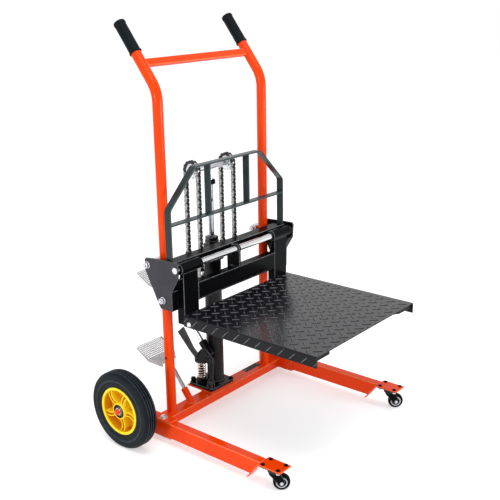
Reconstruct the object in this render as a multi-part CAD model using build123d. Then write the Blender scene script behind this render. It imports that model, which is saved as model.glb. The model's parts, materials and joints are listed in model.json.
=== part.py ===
from build123d import *
import math
import os

os.makedirs("parts", exist_ok=True)

# Sizes are in millimetres. The upright tubes stand at y = 0 and the platform points along -Y;
# the last lines move the whole truck so that the middle of its footprint is the origin.

# Fits and gaps shared by several pieces
RUN_FIT = 0.05       # radial play of a pin, shaft or axle in its bore
ROLL_GAP = 0.3       # gap between a carriage roller and its tube
STOP_GAP = 0.5       # gap between two pieces that come to rest against each other
SIDE_PLAY = 0.8      # sideways gap between pieces that turn past each other
BOLT_PLAY = 0.1      # radial gap round a bolt in its hole
FLANGE_GAP = 2.5     # gap between a platform flange and the fork arm inside it
HOOK_GAP = 12.0      # gap between a fork hook and the carriage plate beside it
BAR_GAP = 1.5        # gap between a low roller and the low carriage bar
PUMP_GAP = 0.9       # gap between the pump barrel and the ring round the cylinder

# Upright tubes, handle and grips
TUBE_D = 32.0
TUBE_WALL = 2.5
BEND_Z = 1084.0
BEND_ANGLE = 37.5
BEND_R = 100.0
HANDLE_LEN = 241.0
GRIP_LEN = 110.0
GRIP_WALL = 2.2
GRIP_CAP = 4.0
CROSSBAR_ALONG = 95.0
CROSSBAR_H = 25.0
CROSSBAR_T = 14.0
TUBE_HOLE_Z = 251.0
TUBE_HOLE_D = 8.0

# Floor frame
BEAM_Z = 27.0
BEAM_H = 30.0
BEAM_D = 50.0
BEAM_WALL = 3.0
LEG_X = 315.0
LEG_W = 30.0
LEG_H = 50.0
LEG_WALL = 3.0
LEG_REAR = 60.0
SOCKET_T = 4.0
SOCKET_FRONT = 81.0
SOCKET_REAR = 70.0
LEG_BOLT_Y = -40.0
LEG_BOLT_D = 10.0
BOLT_AF = 17.0

# Front casters
CASTER_Y = -480.0
BRACKET_LEN = 80.0
BRACKET_W = 54.0
BRACKET_T = 4.0
TAIL_W = 40.0
TAIL_RUN = 47.0
TAIL_DROP = 60.0
CASTER_BOLT_X = 37.0
CASTER_BOLT_Y = 54.0
CASTER_WHEEL_R = 25.0
CASTER_WHEEL_W = 19.0
CASTER_TRAIL = 20.0
CASTER_TURN = 40.0
CASTER_PLATE_T = 3.0
KINGPIN_D = 10.0
CASTER_AXLE_D = 8.0

# Rear wheels
WHEEL_R = 125.0
WHEEL_Y = 37.5
TYRE_IN_X = 381.0
TYRE_W = 51.0
RIM_R = 77.0
AXLE_D = 20.0
AXLE_PLATE_T = 6.0
AXLE_PLATE_HALF = 29.0
AXLE_PLATE_TOP = 18.0
AXLE_PLATE_RISE = 25.0
AXLE_SHOULDER = 12.0
SPOKES = 5
SPOKE_START = 55.0
SPOKE_W = 14.0
SPOKE_IN = 14.0
WEB_T = 4.0

# Lifting jack
JACK_Y = 22.0
MOUNT_T = 4.0
MOUNT_HALF = 69.0
MOUNT_EDGE = 4.0
RIB_X = 45.0
RIB_T = 6.0
BASE_T = 9.0
BASE_SIDE = 52.0
BASE_FWD = 38.0
BASE_BACK = 38.0
RING_H = 12.0
RING_WALL = 3.0
JACK_BOLT_D = 8.0
JACK_BOLT_EDGE = 8.0
CYL_D = 57.0
CYL_BORE = 40.0
CYL_TOP = 563.0
GLAND_D = 47.0
GLAND_H = 27.0
RAM_D = 18.0
RAM_TOP = 764.0
PISTON_Z = 280.0
NUT_H = 14.0
NUT_AF = 30.0
NECK_H = 44.0
NECK_D = 15.0
HEAD_D = 22.0
HEAD_HALF = 16.0

# Lifting chains and their sprockets
SPROCKET_X = 83.0
TEETH = 13
PITCH = 12.7
ROLLER_D = 8.51
TOOTH_W = 7.2
CHAIN_W = 16.0
CHAIN_H = 11.8
CHAIN_GAP = 8.6
SHAFT_D = 14.0
ANCHOR_DROP = 48.0
ANCHOR_T = 12.0

# Carriage that climbs the tubes
PLATE_T = 5.0
ROLLER_R = 14.0
ROLLER_W = 36.0
ROLLER_OUT = 23.0
ROLLER_TOP_DROP = 19.0
ROLLER_LOW_DROP = 5.0
AXLE_BOLT_D = 10.0
FORK_SHAFT_D = 20.0
FORK_SHAFT_SET = 6.0
FORK_SHAFT_DROP = 16.0
TOP_BAR_Z = 582.0
TOP_BAR_H = 38.0
TOP_BAR_D = 40.0
BAR_SPACING = 116.0
LOW_BAR_H = 34.0
LOW_BAR_D = 14.7
LUG_T = 8.0
LUG_R = 16.0
CHAIN_TAB_T = 10.0

# Load guard above the carriage
GUARD_INSET = 10.0
GUARD_W = 25.0
GUARD_T = 5.0
GUARD_BEND_Z = 742.0
GUARD_TOP_X = 155.0
GUARD_TOP_Z = 855.0
GUARD_MID_Z = 695.0
GUARD_POST_X = 92.0
GUARD_SET = 0.5

# Fork frame and platform
ARM_W = 65.0
ARM_DEPTH = 30.0
ARM_T = 6.0
HOOK_LEN = 92.0
HOOK_WALL = 7.0
CROSS_DROP = 14.0
CROSS_H = 53.0
DECK_Z = 417.0
DECK_T = 3.0
DECK_HALF = 260.0
DECK_LEN = 493.0
FLANGE_H = 34.0
BLADE_H = 30.0
BLADE_SHORT = 6.0
DECK_BOLT_D = 8.0

# Foot pump beside the cylinder
PUMP_X = -38.0
PUMP_BACK = 30.0
PUMP_SEAT_H = 20.0
PUMP_NECK_H = 28.0
SPRING_LEN = 59.0
SPRING_R = 13.3
SPRING_WIRE = 3.4
SPRING_TURNS = 6
PLUNGER_D = 12.0
PUMP_PIN_D = 8.0
PUMP_PIN_RISE = 11.0
LEVER_T = 6.0
LINK_T = 6.0
LINK_W = 16.0
LINK_LOW_FWD = 54.0
LINK_LOW_H = 16.0
LINK_TOP_FWD = 63.0
LINK_TOP_RISE = 15.0
LEVER_ANGLE = 49.0
LEVER_FWD = 52.0
LEVER_RISE = 27.0
LEVER_SOCKET_D = 28.0
LEVER_SOCKET_LEN = 56.0
ROD_D = 14.0
ROD_LEN = 297.0
VALVE_SIDE = 14.0
VALVE_BACK = 27.0
VALVE_D = 17.0

# Pedal plates and the fixed foot step
PEDAL_W = 120.0
PEDAL_T = 3.0
PEDAL_FRONT = 40.0
PEDAL_CUT = 55.0
PEDAL_FLAT = 25.0
PEDAL_RUN = 56.0
PEDAL_RISE = 27.0
PEDAL_LIP = 12.0
STEP_X = -150.0
STEP_Y = -2.0
STEP_ANGLE = 52.0
STEP_SOCKET_D = 23.0
STEP_SOCKET_LEN = 52.0
STEP_ROD_LEN = 174.0

# Widths, from the platform outwards: fork arms inside its flanges, plates outside the hooks, tubes between
arm_out = DECK_HALF - DECK_T - FLANGE_GAP
arm_x = (arm_out - ARM_W, arm_out)
arm_mid = arm_out - ARM_W / 2
hook_x = (arm_mid - HOOK_LEN / 2, arm_mid + HOOK_LEN / 2)
plate_x = (hook_x[1] + HOOK_GAP, hook_x[1] + HOOK_GAP + PLATE_T)
roller_x = (plate_x[0] - ROLLER_OUT - ROLLER_W, plate_x[0] - ROLLER_OUT)
upright_x = (roller_x[0] + roller_x[1]) / 2

# Depths, from the tubes forwards: rollers, low bar, fork arms, fork shaft, top bar and guard
roller_y = TUBE_D / 2 + ROLL_GAP + ROLLER_R
low_rear = -roller_y - ROLLER_R - BAR_GAP
low_y = (low_rear - LOW_BAR_D, low_rear)
arm_rear = low_y[0] - STOP_GAP
arm_front = arm_rear - ARM_DEPTH
shaft_y = arm_front + FORK_SHAFT_SET
hook_r = FORK_SHAFT_D / 2 + HOOK_WALL
bar_front = shaft_y + hook_r + 3.0
bar_y = (bar_front, bar_front + TOP_BAR_D)
guard_y = (bar_front + GUARD_SET, bar_front + GUARD_SET + GUARD_W)

# Heights of the carriage
bar_z = (TOP_BAR_Z - TOP_BAR_H, TOP_BAR_Z)
shaft_z = TOP_BAR_Z - FORK_SHAFT_DROP
low_top = TOP_BAR_Z - BAR_SPACING
low_z = (low_top - LOW_BAR_H, low_top)
roller_axes = [(roller_y, TOP_BAR_Z - ROLLER_TOP_DROP), (-roller_y, low_top - ROLLER_LOW_DROP)]
cross_z = (low_top - CROSS_DROP, low_top - CROSS_DROP + CROSS_H)

parts = {}


def box(x, y, z):
    """Block between two limits on each axis."""
    middle = Pos((x[0] + x[1]) / 2, (y[0] + y[1]) / 2, (z[0] + z[1]) / 2)
    return middle * Box(x[1] - x[0], y[1] - y[0], z[1] - z[0])


def rod_x(x, y, z, d):
    """Round bar along X between two limits."""
    return Pos((x[0] + x[1]) / 2, y, z) * Rot(0, 90, 0) * Cylinder(d / 2, abs(x[1] - x[0]))


def rod_z(x, y, z, d):
    """Round bar along Z between two limits."""
    return Pos(x, y, (z[0] + z[1]) / 2) * Cylinder(d / 2, z[1] - z[0])


def slab(points, x):
    """Plate with an outline in (y, z), between two limits on X."""
    face = make_face(Plane.YZ * Polyline(*points, close=True))
    return Pos(x[0], 0, 0) * extrude(face, x[1] - x[0], dir=(1, 0, 0))


def turned(points, y, z):
    """Body of revolution about an axis along X, outline in (x, radius)."""
    body = revolve(make_face(Polyline(*points, close=True)), Axis.X)
    return Pos(0, y, z) * body


def hex_x(x, y, z, af):
    """Hexagon bar along X."""
    face = Plane.YZ * RegularPolygon(af / 2, 6, major_radius=False)
    return Pos(x[0], y, z) * extrude(face, x[1] - x[0], dir=(1, 0, 0))


def hex_z(x, y, z, af):
    """Hexagon bar along Z."""
    return Pos(x, y, z[0]) * extrude(RegularPolygon(af / 2, 6, major_radius=False), z[1] - z[0])


def slanted(x, y, z, angle):
    """Plane whose normal leans back from +Y by the given rise, used for rods that climb rearward."""
    a = math.radians(angle)
    return Plane(origin=(x, y, z), x_dir=(1, 0, 0), z_dir=(0, math.cos(a), math.sin(a)))


def left(shape):
    """The same piece on the other side of the truck."""
    return mirror(shape, about=Plane.YZ)


def both(name, shape):
    """Keep a piece of the right side and its mirror image."""
    parts[name + "_right"] = shape
    parts[name + "_left"] = left(shape)


def group(shapes):
    """Several separate solids that share one node."""
    return Compound(children=list(shapes))


def pair(shape):
    return group([shape, left(shape)])


# Upright tubes: one bent tube each side, standing on the cross beam and turned back at the top.
beam_top = BEAM_Z + BEAM_H
lean = math.radians(BEND_ANGLE)
tube_len = HANDLE_LEN - GRIP_CAP
tube_end = (tube_len * math.sin(lean), BEND_Z + tube_len * math.cos(lean))
tube_axis = Plane.YZ * FilletPolyline((0, beam_top), (0, BEND_Z), tube_end, radius=BEND_R)
foot_plane = Plane((0, 0, beam_top))
tube_solid = sweep(foot_plane * Circle(TUBE_D / 2), path=tube_axis)
tube_bore = sweep(foot_plane * Circle(TUBE_D / 2 - TUBE_WALL), path=tube_axis)
tube_hole = Pos(0, 0, TUBE_HOLE_Z) * Rot(0, 0, 40) * Rot(0, 90, 0) * Cylinder(TUBE_HOLE_D / 2, TUBE_D)
upright = tube_solid - tube_bore - Pos(TUBE_D / 2, TUBE_D / 2, 0) * tube_hole
both("upright", Pos(upright_x, 0, 0) * upright)

# Rubber grips: sleeves with closed ends pushed over the tube ends.
handle_dir = (0, math.sin(lean), math.cos(lean))
grip_plane = Plane(origin=(0, tube_end[0], tube_end[1]), x_dir=(1, 0, 0), z_dir=handle_dir)
grip_r = TUBE_D / 2 + GRIP_WALL
sleeve_len = GRIP_LEN - GRIP_CAP
grip = grip_plane * Pos(0, 0, GRIP_CAP - GRIP_LEN / 2) * Cylinder(grip_r, GRIP_LEN)
grip = grip - grip_plane * Pos(0, 0, -sleeve_len / 2) * Cylinder(TUBE_D / 2, sleeve_len)
parts["handle_grips"] = pair(Pos(upright_x, 0, 0) * grip)

# Handle crossbar: flat tube welded between the two leaning tube ends.
bar_at = (0, CROSSBAR_ALONG * math.sin(lean), BEND_Z + CROSSBAR_ALONG * math.cos(lean))
bar_plane = Plane(origin=bar_at, x_dir=(1, 0, 0), z_dir=handle_dir)
crossbar = bar_plane * Box(2 * upright_x, CROSSBAR_T, CROSSBAR_H)
for side in (-1, 1):
    crossbar -= bar_plane * Pos(side * upright_x, 0, 0) * Cylinder(TUBE_D / 2, 2 * CROSSBAR_H)
parts["handle_crossbar"] = crossbar

# Cross beam: flat box tube that carries both uprights and the jack, between the two leg sockets.
socket_in = LEG_X - LEG_W / 2 - SOCKET_T
beam = box((-socket_in, socket_in), (-BEAM_D / 2, BEAM_D / 2), (BEAM_Z, beam_top))
beam -= box((-socket_in, socket_in), (BEAM_WALL - BEAM_D / 2, BEAM_D / 2 - BEAM_WALL),
            (BEAM_Z + BEAM_WALL, beam_top - BEAM_WALL))

# Socket of the foot step, welded on the beam as a slanted tube.
step_plane = slanted(STEP_X, STEP_Y, beam_top, STEP_ANGLE)
step_tube = step_plane * Pos(0, 0, STEP_SOCKET_LEN / 2) * Cylinder(STEP_SOCKET_D / 2, STEP_SOCKET_LEN)
step_foot = step_plane * Pos(0, 0, -STEP_SOCKET_D / 2) * Cylinder(STEP_SOCKET_D / 2, STEP_SOCKET_D)
step_tube = step_tube + step_foot
step_tube -= box((STEP_X - STEP_SOCKET_D, STEP_X + STEP_SOCKET_D), (-3 * BEAM_D, 3 * BEAM_D), (0, beam_top))
step_bore_from = STEP_SOCKET_D / 2 + 4
step_bore = Pos(0, 0, (step_bore_from + STEP_SOCKET_LEN) / 2)
step_bore = step_bore * Cylinder(ROD_D / 2, STEP_SOCKET_LEN - step_bore_from)
parts["cross_beam"] = beam + (step_tube - step_plane * step_bore)

# Legs: box tubes that straddle the load, cut on a slant at the front end.
leg_x = (LEG_X - LEG_W / 2, LEG_X + LEG_W / 2)
leg_top = BEAM_Z + LEG_H
plate_rear = CASTER_Y + BRACKET_LEN / 2
cut = TAIL_RUN / TAIL_DROP
leg_low_front = plate_rear + LEG_H * cut
leg = slab([(LEG_REAR, BEAM_Z), (LEG_REAR, leg_top), (plate_rear, leg_top), (leg_low_front, BEAM_Z)], leg_x)
core_top = leg_top - LEG_WALL
core_low = BEAM_Z + LEG_WALL
core_front = plate_rear + LEG_WALL * cut
core = [(LEG_REAR + 1, core_low), (LEG_REAR + 1, core_top), (core_front, core_top),
        (leg_low_front - LEG_WALL * cut, core_low)]
leg -= slab(core, (leg_x[0] + LEG_WALL, leg_x[1] - LEG_WALL))
both("leg", leg - rod_z(LEG_X, LEG_BOLT_Y, (0, leg_top + 1), LEG_BOLT_D + 2 * BOLT_PLAY))

# Leg sockets: brackets open to the outside, welded to the beam ends, that hold the legs.
socket_y = (-SOCKET_FRONT, SOCKET_REAR)
socket_low = BEAM_Z - SOCKET_T
socket_top = leg_top + SOCKET_T
socket = box((socket_in, leg_x[1]), socket_y, (socket_low, socket_top))
socket -= box((leg_x[0], leg_x[1] + 1), (-SOCKET_FRONT - 1, SOCKET_REAR + 1), (BEAM_Z, leg_top))
leg_hole = rod_z(LEG_X, LEG_BOLT_Y, (0, socket_top + 1), LEG_BOLT_D + 2 * BOLT_PLAY)
parts["leg_sockets"] = pair(socket - leg_hole)

# Caster brackets: plates that carry on from the leg tops, with a tail bent down behind the slanted leg end.
slope_len = math.hypot(TAIL_RUN, TAIL_DROP)
off_y = -TAIL_DROP / slope_len * BRACKET_T
off_z = -TAIL_RUN / slope_len * BRACKET_T
inner_y = plate_rear + off_y + (BRACKET_T + off_z) * cut
tail = [(plate_rear, leg_top), (plate_rear + TAIL_RUN, leg_top - TAIL_DROP),
        (plate_rear + TAIL_RUN + off_y, leg_top - TAIL_DROP + off_z), (inner_y, leg_top - BRACKET_T)]
bracket = slab(tail, (LEG_X - TAIL_W / 2, LEG_X + TAIL_W / 2))
bracket += box((LEG_X - BRACKET_W / 2, LEG_X + BRACKET_W / 2), (plate_rear - BRACKET_LEN, plate_rear),
               (leg_top - BRACKET_T, leg_top))
bolt_spots = []
for sx in (-1, 1):
    for sy in (-1, 1):
        bolt_spots.append((LEG_X + sx * CASTER_BOLT_X / 2, CASTER_Y + sy * CASTER_BOLT_Y / 2))
caster_bolt_d = 6.0
for spot in bolt_spots:
    bracket -= rod_z(spot[0], spot[1], (0, leg_top + 1), caster_bolt_d)
parts["caster_brackets"] = pair(bracket)

# Caster top plates: bolted under the brackets, each with a race ring and a headed kingpin.
mount_top = leg_top - BRACKET_T
mount_low = mount_top - CASTER_PLATE_T
race_low = mount_low - 6.0
crown_top = race_low - STOP_GAP
crown_low = crown_top - 5.5
pin_head = crown_low - STOP_GAP
mount_edge = 7.0
mount_x = CASTER_BOLT_X / 2 + mount_edge
mount_y = CASTER_BOLT_Y / 2 + mount_edge
caster_mount = box((LEG_X - mount_x, LEG_X + mount_x), (CASTER_Y - mount_y, CASTER_Y + mount_y),
                   (mount_low, mount_top))
for spot in bolt_spots:
    caster_mount -= rod_z(spot[0], spot[1], (0, leg_top + 1), caster_bolt_d)
caster_mount += rod_z(LEG_X, CASTER_Y, (race_low, mount_low), 40.0)
caster_mount += rod_z(LEG_X, CASTER_Y, (pin_head, race_low), KINGPIN_D)
caster_mount += rod_z(LEG_X, CASTER_Y, (pin_head - 4.0, pin_head), 1.6 * KINGPIN_D)
parts["caster_mounts"] = pair(caster_mount)

# Caster forks: a crown that turns on the kingpin, two cheeks and the axle bolt, standing turned aside.
wheel_at = CASTER_Y - CASTER_TRAIL
cheek_in = CASTER_WHEEL_W / 2 + SIDE_PLAY
cheek_t = 3.0
cheek_edge = [(CASTER_Y + 17, crown_low + 1), (CASTER_Y + 17, crown_low - 3),
              (wheel_at + 8, CASTER_WHEEL_R - 6), (wheel_at - 8, CASTER_WHEEL_R - 6),
              (wheel_at - 8, CASTER_WHEEL_R + 8),
              (CASTER_Y - 17, crown_low - 3), (CASTER_Y - 17, crown_low + 1)]
cheek = slab(cheek_edge, (cheek_in, cheek_in + cheek_t))
crown = rod_z(0, CASTER_Y, (crown_low, crown_top), 40.0)
caster_fork = crown + cheek + left(cheek)
caster_fork -= rod_z(0, CASTER_Y, (0, leg_top), KINGPIN_D + 2 * RUN_FIT)
bolt_out = cheek_in + cheek_t
caster_fork += rod_x((-bolt_out, bolt_out), wheel_at, CASTER_WHEEL_R, CASTER_AXLE_D)
for side in (-1, 1):
    caster_fork += hex_x((side * bolt_out, side * (bolt_out + 4)) if side > 0 else (-bolt_out - 4, -bolt_out),
                         wheel_at, CASTER_WHEEL_R, 13.0)
caster_turn = Pos(0, CASTER_Y, 0) * Rot(0, 0, CASTER_TURN) * Pos(0, -CASTER_Y, 0)
parts["caster_fork_right"] = Pos(LEG_X, 0, 0) * caster_turn * caster_fork
parts["caster_fork_left"] = Pos(-LEG_X, 0, 0) * caster_turn * caster_fork

# Caster wheels: moulded tread on a core, running on the axle bolt.
half = CASTER_WHEEL_W / 2
caster_bore = CASTER_AXLE_D / 2 + RUN_FIT
tread_half = [(half, caster_bore), (half, 17), (half - 2, 18), (half - 2, 21), (half - 4, CASTER_WHEEL_R)]
tread = [(-x, r) for x, r in tread_half] + list(reversed(tread_half))
caster_wheel = turned(tread, wheel_at, CASTER_WHEEL_R)
parts["caster_wheel_right"] = Pos(LEG_X, 0, 0) * caster_turn * caster_wheel
parts["caster_wheel_left"] = Pos(-LEG_X, 0, 0) * caster_turn * caster_wheel

# Stub axles: a plate on the leg's outer side that rises to axle height, a spacer, the journal and an end cap.
axle_plate = (leg_x[1], leg_x[1] + AXLE_PLATE_T)
hub_in = TYRE_IN_X + 0.5
hub_out = TYRE_IN_X + TYRE_W - 1.5
axle_top = WHEEL_R + AXLE_PLATE_RISE
shoulder = leg_top + AXLE_SHOULDER
axle_half = [(AXLE_PLATE_HALF, BEAM_Z), (AXLE_PLATE_HALF, shoulder), (AXLE_PLATE_TOP, axle_top)]
axle_edge = [(WHEEL_Y - y, z) for y, z in axle_half] + [(WHEEL_Y + y, z) for y, z in reversed(axle_half)]
axle = slab(axle_edge, axle_plate)
axle += rod_x((axle_plate[1], hub_in - SIDE_PLAY), WHEEL_Y, WHEEL_R, 1.7 * AXLE_D)
axle += rod_x((axle_plate[1], hub_out + SIDE_PLAY), WHEEL_Y, WHEEL_R, AXLE_D)
cap_in = hub_out + SIDE_PLAY
axle += turned([(cap_in, 0), (cap_in, 0.72 * AXLE_D), (cap_in + 5, 0.72 * AXLE_D), (cap_in + 8, 0.5 * AXLE_D),
                (cap_in + 8, 0)], WHEEL_Y, WHEEL_R)
parts["stub_axles"] = pair(axle)

# Wheel hubs: moulded rim and long boss joined by a web on the inner side, with curved spokes in front of it.
boss_r = 1.3 * AXLE_D
rim_in = RIM_R - 7.0
hub = turned([(hub_in, 0), (hub_in, boss_r), (hub_out, boss_r), (hub_out, 0)], 0, 0)
hub += turned([(TYRE_IN_X + 2, rim_in), (TYRE_IN_X + 2, RIM_R), (TYRE_IN_X + TYRE_W - 1, RIM_R),
               (TYRE_IN_X + TYRE_W - 1, rim_in)], 0, 0)
web_x = (TYRE_IN_X + SPOKE_IN, TYRE_IN_X + SPOKE_IN + WEB_T)
web_r = (boss_r - 2, rim_in + 2)
hub += turned([(web_x[0], web_r[0]), (web_x[0], web_r[1]), (web_x[1], web_r[1]), (web_x[1], web_r[0])], 0, 0)
spoke_line = ThreePointArc((boss_r - 4, 0), (0.62 * rim_in, -0.16 * rim_in), (rim_in + 2, -0.02 * rim_in))
spoke_face = Plane.YZ * trace(spoke_line, line_width=SPOKE_W)
spoke = Pos(TYRE_IN_X + SPOKE_IN, 0, 0) * extrude(spoke_face, TYRE_W - SPOKE_IN - 8, dir=(1, 0, 0))
spoke = spoke & rod_x((TYRE_IN_X, TYRE_IN_X + TYRE_W), 0, 0, 2 * RIM_R - 4)
for i in range(SPOKES):
    hub += Rot(360 / SPOKES * i + SPOKE_START, 0, 0) * spoke
hub -= rod_x((TYRE_IN_X - 5, TYRE_IN_X + TYRE_W + 5), 0, 0, AXLE_D + 2 * RUN_FIT)
both("wheel_hub", Pos(0, WHEEL_Y, WHEEL_R) * hub)

# Tyres: rubber rings moulded on the rims.
tyre_out = TYRE_IN_X + TYRE_W
tyre_wall = [(0, RIM_R + 6), (0, WHEEL_R - 16), (4, WHEEL_R - 6), (12, WHEEL_R)]
tyre_edge = [(TYRE_IN_X + 2, RIM_R)] + [(TYRE_IN_X + x, r) for x, r in tyre_wall]
tyre_edge += [(tyre_out - x, r) for x, r in reversed(tyre_wall)] + [(tyre_out - 1, RIM_R)]
tyre = turned(tyre_edge, WHEEL_Y, WHEEL_R)
both("tyre", tyre)

# Jack mount: plate across the beam that reaches behind it, with two ribs under the overhang.
pump_y = JACK_Y + PUMP_BACK
base_y = (JACK_Y - BASE_FWD, pump_y + BASE_BACK)
mount_z = (beam_top, beam_top + MOUNT_T)
mount_rear = base_y[1] + MOUNT_EDGE - 1
mount = box((-MOUNT_HALF, MOUNT_HALF), (base_y[0] - MOUNT_EDGE, mount_rear), mount_z)
for side in (-1, 1):
    mount += slab([(BEAM_D / 2, beam_top), (mount_rear - 10, beam_top), (BEAM_D / 2, BEAM_Z + 4)],
                  (side * RIB_X - RIB_T / 2, side * RIB_X + RIB_T / 2))

# Jack base: casting with a ring for the cylinder, a seat for the pump and two ears for the fulcrum link.
base_z = (mount_z[1], mount_z[1] + BASE_T)
lever_in = PUMP_X - SPRING_R - SPRING_WIRE / 2 - 1.0
lever_x = (lever_in - LEVER_T, lever_in)
link_x = (lever_in + SIDE_PLAY, lever_in + SIDE_PLAY + LINK_T)
base_top = base_z[1]
base = box((lever_x[0] - 4, BASE_SIDE), base_y, base_z)
base = fillet(base.edges().filter_by(Axis.Z), 10)
ring_z = (base_top, base_top + RING_H)
barrel_d = 2 * SPRING_R + SPRING_WIRE + 2
base += rod_z(0, JACK_Y, ring_z, CYL_D + 2 * RING_WALL)
base -= rod_z(0, JACK_Y, ring_z, CYL_D)
base -= rod_z(PUMP_X, pump_y, ring_z, barrel_d + 2 * PUMP_GAP)
link_low = (pump_y - LINK_LOW_FWD, base_top + LINK_LOW_H)
ear_t = 5.0
ear_half = [(10.0, base_top), (10.0, link_low[1] + 5), (5.0, link_low[1] + 10)]
ear_edge = [(link_low[0] - y, z) for y, z in ear_half] + [(link_low[0] + y, z) for y, z in reversed(ear_half)]
ear = slab(ear_edge, (link_x[0] - STOP_GAP - ear_t, link_x[0] - STOP_GAP))
base += ear
base += Pos(LINK_T + 2 * STOP_GAP + ear_t, 0, 0) * ear
pin_out = STOP_GAP + ear_t + 1.5
base += rod_x((link_x[0] - pin_out, link_x[1] + pin_out), link_low[0], link_low[1], PUMP_PIN_D)
valve_at = (PUMP_X - VALVE_SIDE, pump_y + VALVE_BACK)
base -= rod_z(valve_at[0], valve_at[1], (base_top - 5, base_top), VALVE_D / 2 + 2 * RUN_FIT)
bolt_rear = base_y[1] - JACK_BOLT_EDGE
bolt_side = BASE_SIDE - JACK_BOLT_EDGE
jack_bolts = [(bolt_side, base_y[0] + JACK_BOLT_EDGE), (bolt_side, bolt_rear), (-18, bolt_rear),
              (-30, base_y[0] + JACK_BOLT_EDGE + 1)]
for spot in jack_bolts:
    base -= rod_z(spot[0], spot[1], base_z, JACK_BOLT_D)
    mount -= rod_z(spot[0], spot[1], mount_z, JACK_BOLT_D)
parts["jack_mount"] = mount
parts["jack_base"] = base

# Cylinder and gland: plain tube with a closed foot, and the nut that guides the ram.
bore_low = base_top + 15.0
plug = 18.0
cylinder = rod_z(0, JACK_Y, (base_top, CYL_TOP), CYL_D)
parts["jack_cylinder"] = cylinder - rod_z(0, JACK_Y, (bore_low, CYL_TOP), CYL_BORE)
gland_top = CYL_TOP + GLAND_H
gland = rod_z(0, JACK_Y, (CYL_TOP, gland_top), GLAND_D)
gland += rod_z(0, JACK_Y, (CYL_TOP - plug, CYL_TOP), CYL_BORE)
parts["gland_nut"] = gland - rod_z(0, JACK_Y, (CYL_TOP - plug, gland_top), RAM_D + 2 * RUN_FIT)

# Ram: polished rod with a piston at its foot.
ram = rod_z(0, JACK_Y, (PISTON_Z, RAM_TOP), RAM_D)
ram += rod_z(0, JACK_Y, (PISTON_Z, PISTON_Z + 24), CYL_BORE - 2 * ROLL_GAP)
parts["ram_rod"] = ram

# Crosshead: nut and neck on top of the ram, and the cross block with the fixed sprocket shaft.
hub_half = 9.0
sprocket_z = RAM_TOP + NUT_H + NECK_H
shaft_step = SPROCKET_X - hub_half - SIDE_PLAY
shaft_end = SPROCKET_X + hub_half + SIDE_PLAY
head = hex_z(0, JACK_Y, (RAM_TOP, RAM_TOP + NUT_H), NUT_AF)
head += rod_z(0, JACK_Y, (RAM_TOP + NUT_H, sprocket_z), NECK_D)
head += rod_x((-HEAD_HALF, HEAD_HALF), JACK_Y, sprocket_z, HEAD_D)
stub = rod_x((HEAD_HALF, shaft_step), JACK_Y, sprocket_z, SHAFT_D + 6)
stub += rod_x((shaft_step, shaft_end), JACK_Y, sprocket_z, SHAFT_D)
stub += rod_x((shaft_end, shaft_end + 5), JACK_Y, sprocket_z, SHAFT_D + 8)
parts["ram_crosshead"] = head + stub + left(stub)

# Sprockets: toothed wheels with long hubs.
pitch_r = PITCH / 2 / math.sin(math.pi / TEETH)
tooth_r = pitch_r + 0.3 * ROLLER_D
wheel = rod_x((SPROCKET_X - TOOTH_W / 2, SPROCKET_X + TOOTH_W / 2), 0, 0, 2 * tooth_r)
for i in range(TEETH):
    a = 2 * math.pi * i / TEETH
    wheel -= rod_x((SPROCKET_X - TOOTH_W, SPROCKET_X + TOOTH_W), pitch_r * math.cos(a), pitch_r * math.sin(a),
                   ROLLER_D + 0.4)
wheel += rod_x((SPROCKET_X - hub_half, SPROCKET_X + hub_half), 0, 0, 1.2 * pitch_r)
wheel -= rod_x((SPROCKET_X - 2 * hub_half, SPROCKET_X + 2 * hub_half), 0, 0, SHAFT_D + 2 * RUN_FIT)
both("sprocket", Pos(0, JACK_Y, sprocket_z) * wheel)

# Chains: the plates that wrap over each sprocket, and straight runs with a slot for the teeth.
plate_in = CHAIN_GAP / 2
plate_out = CHAIN_W / 2
ring_in = pitch_r - CHAIN_H / 2
ring_out = pitch_r + CHAIN_H / 2
wraps = []
for mid in (-SPROCKET_X, SPROCKET_X):
    for x in ((mid - plate_out, mid - plate_in), (mid + plate_in, mid + plate_out)):
        ring = rod_x(x, JACK_Y, sprocket_z, 2 * ring_out) - rod_x(x, JACK_Y, sprocket_z, 2 * ring_in)
        ring -= box((x[0] - 1, x[1] + 1), (JACK_Y - 50, JACK_Y + 50), (sprocket_z - 50, sprocket_z))
        wraps.append(ring)
parts["chain_wraps"] = group(wraps)


def chain_run(y, z, slot):
    """Both straight runs at one side of the sprockets."""
    runs = []
    for mid in (-SPROCKET_X, SPROCKET_X):
        run = box((mid - plate_out, mid + plate_out), (y - CHAIN_H / 2, y + CHAIN_H / 2), z)
        run -= box((mid - plate_in, mid + plate_in), (y - CHAIN_H, y + CHAIN_H), (z[1] - slot, z[1] + 1))
        runs.append(run)
    return group(runs)


tab_top = low_top + CHAIN_TAB_T
front_y = JACK_Y - pitch_r
rear_y = JACK_Y + pitch_r
parts["chain_front"] = chain_run(front_y, (tab_top, sprocket_z), 95.0)
anchor_z = (CYL_TOP - ANCHOR_DROP, CYL_TOP - ANCHOR_DROP + ANCHOR_T)
parts["chain_rear"] = chain_run(rear_y, (anchor_z[1], sprocket_z), 62.0)

# Fixed chain anchor: a bar behind the cylinder, welded to a ring round it.
anchor = box((-SPROCKET_X - 14, SPROCKET_X + 14), (rear_y - 9, rear_y + 10), anchor_z)
anchor += rod_z(0, JACK_Y, anchor_z, CYL_D + 20)
parts["chain_anchor"] = anchor - rod_z(0, JACK_Y, anchor_z, CYL_D)

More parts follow.
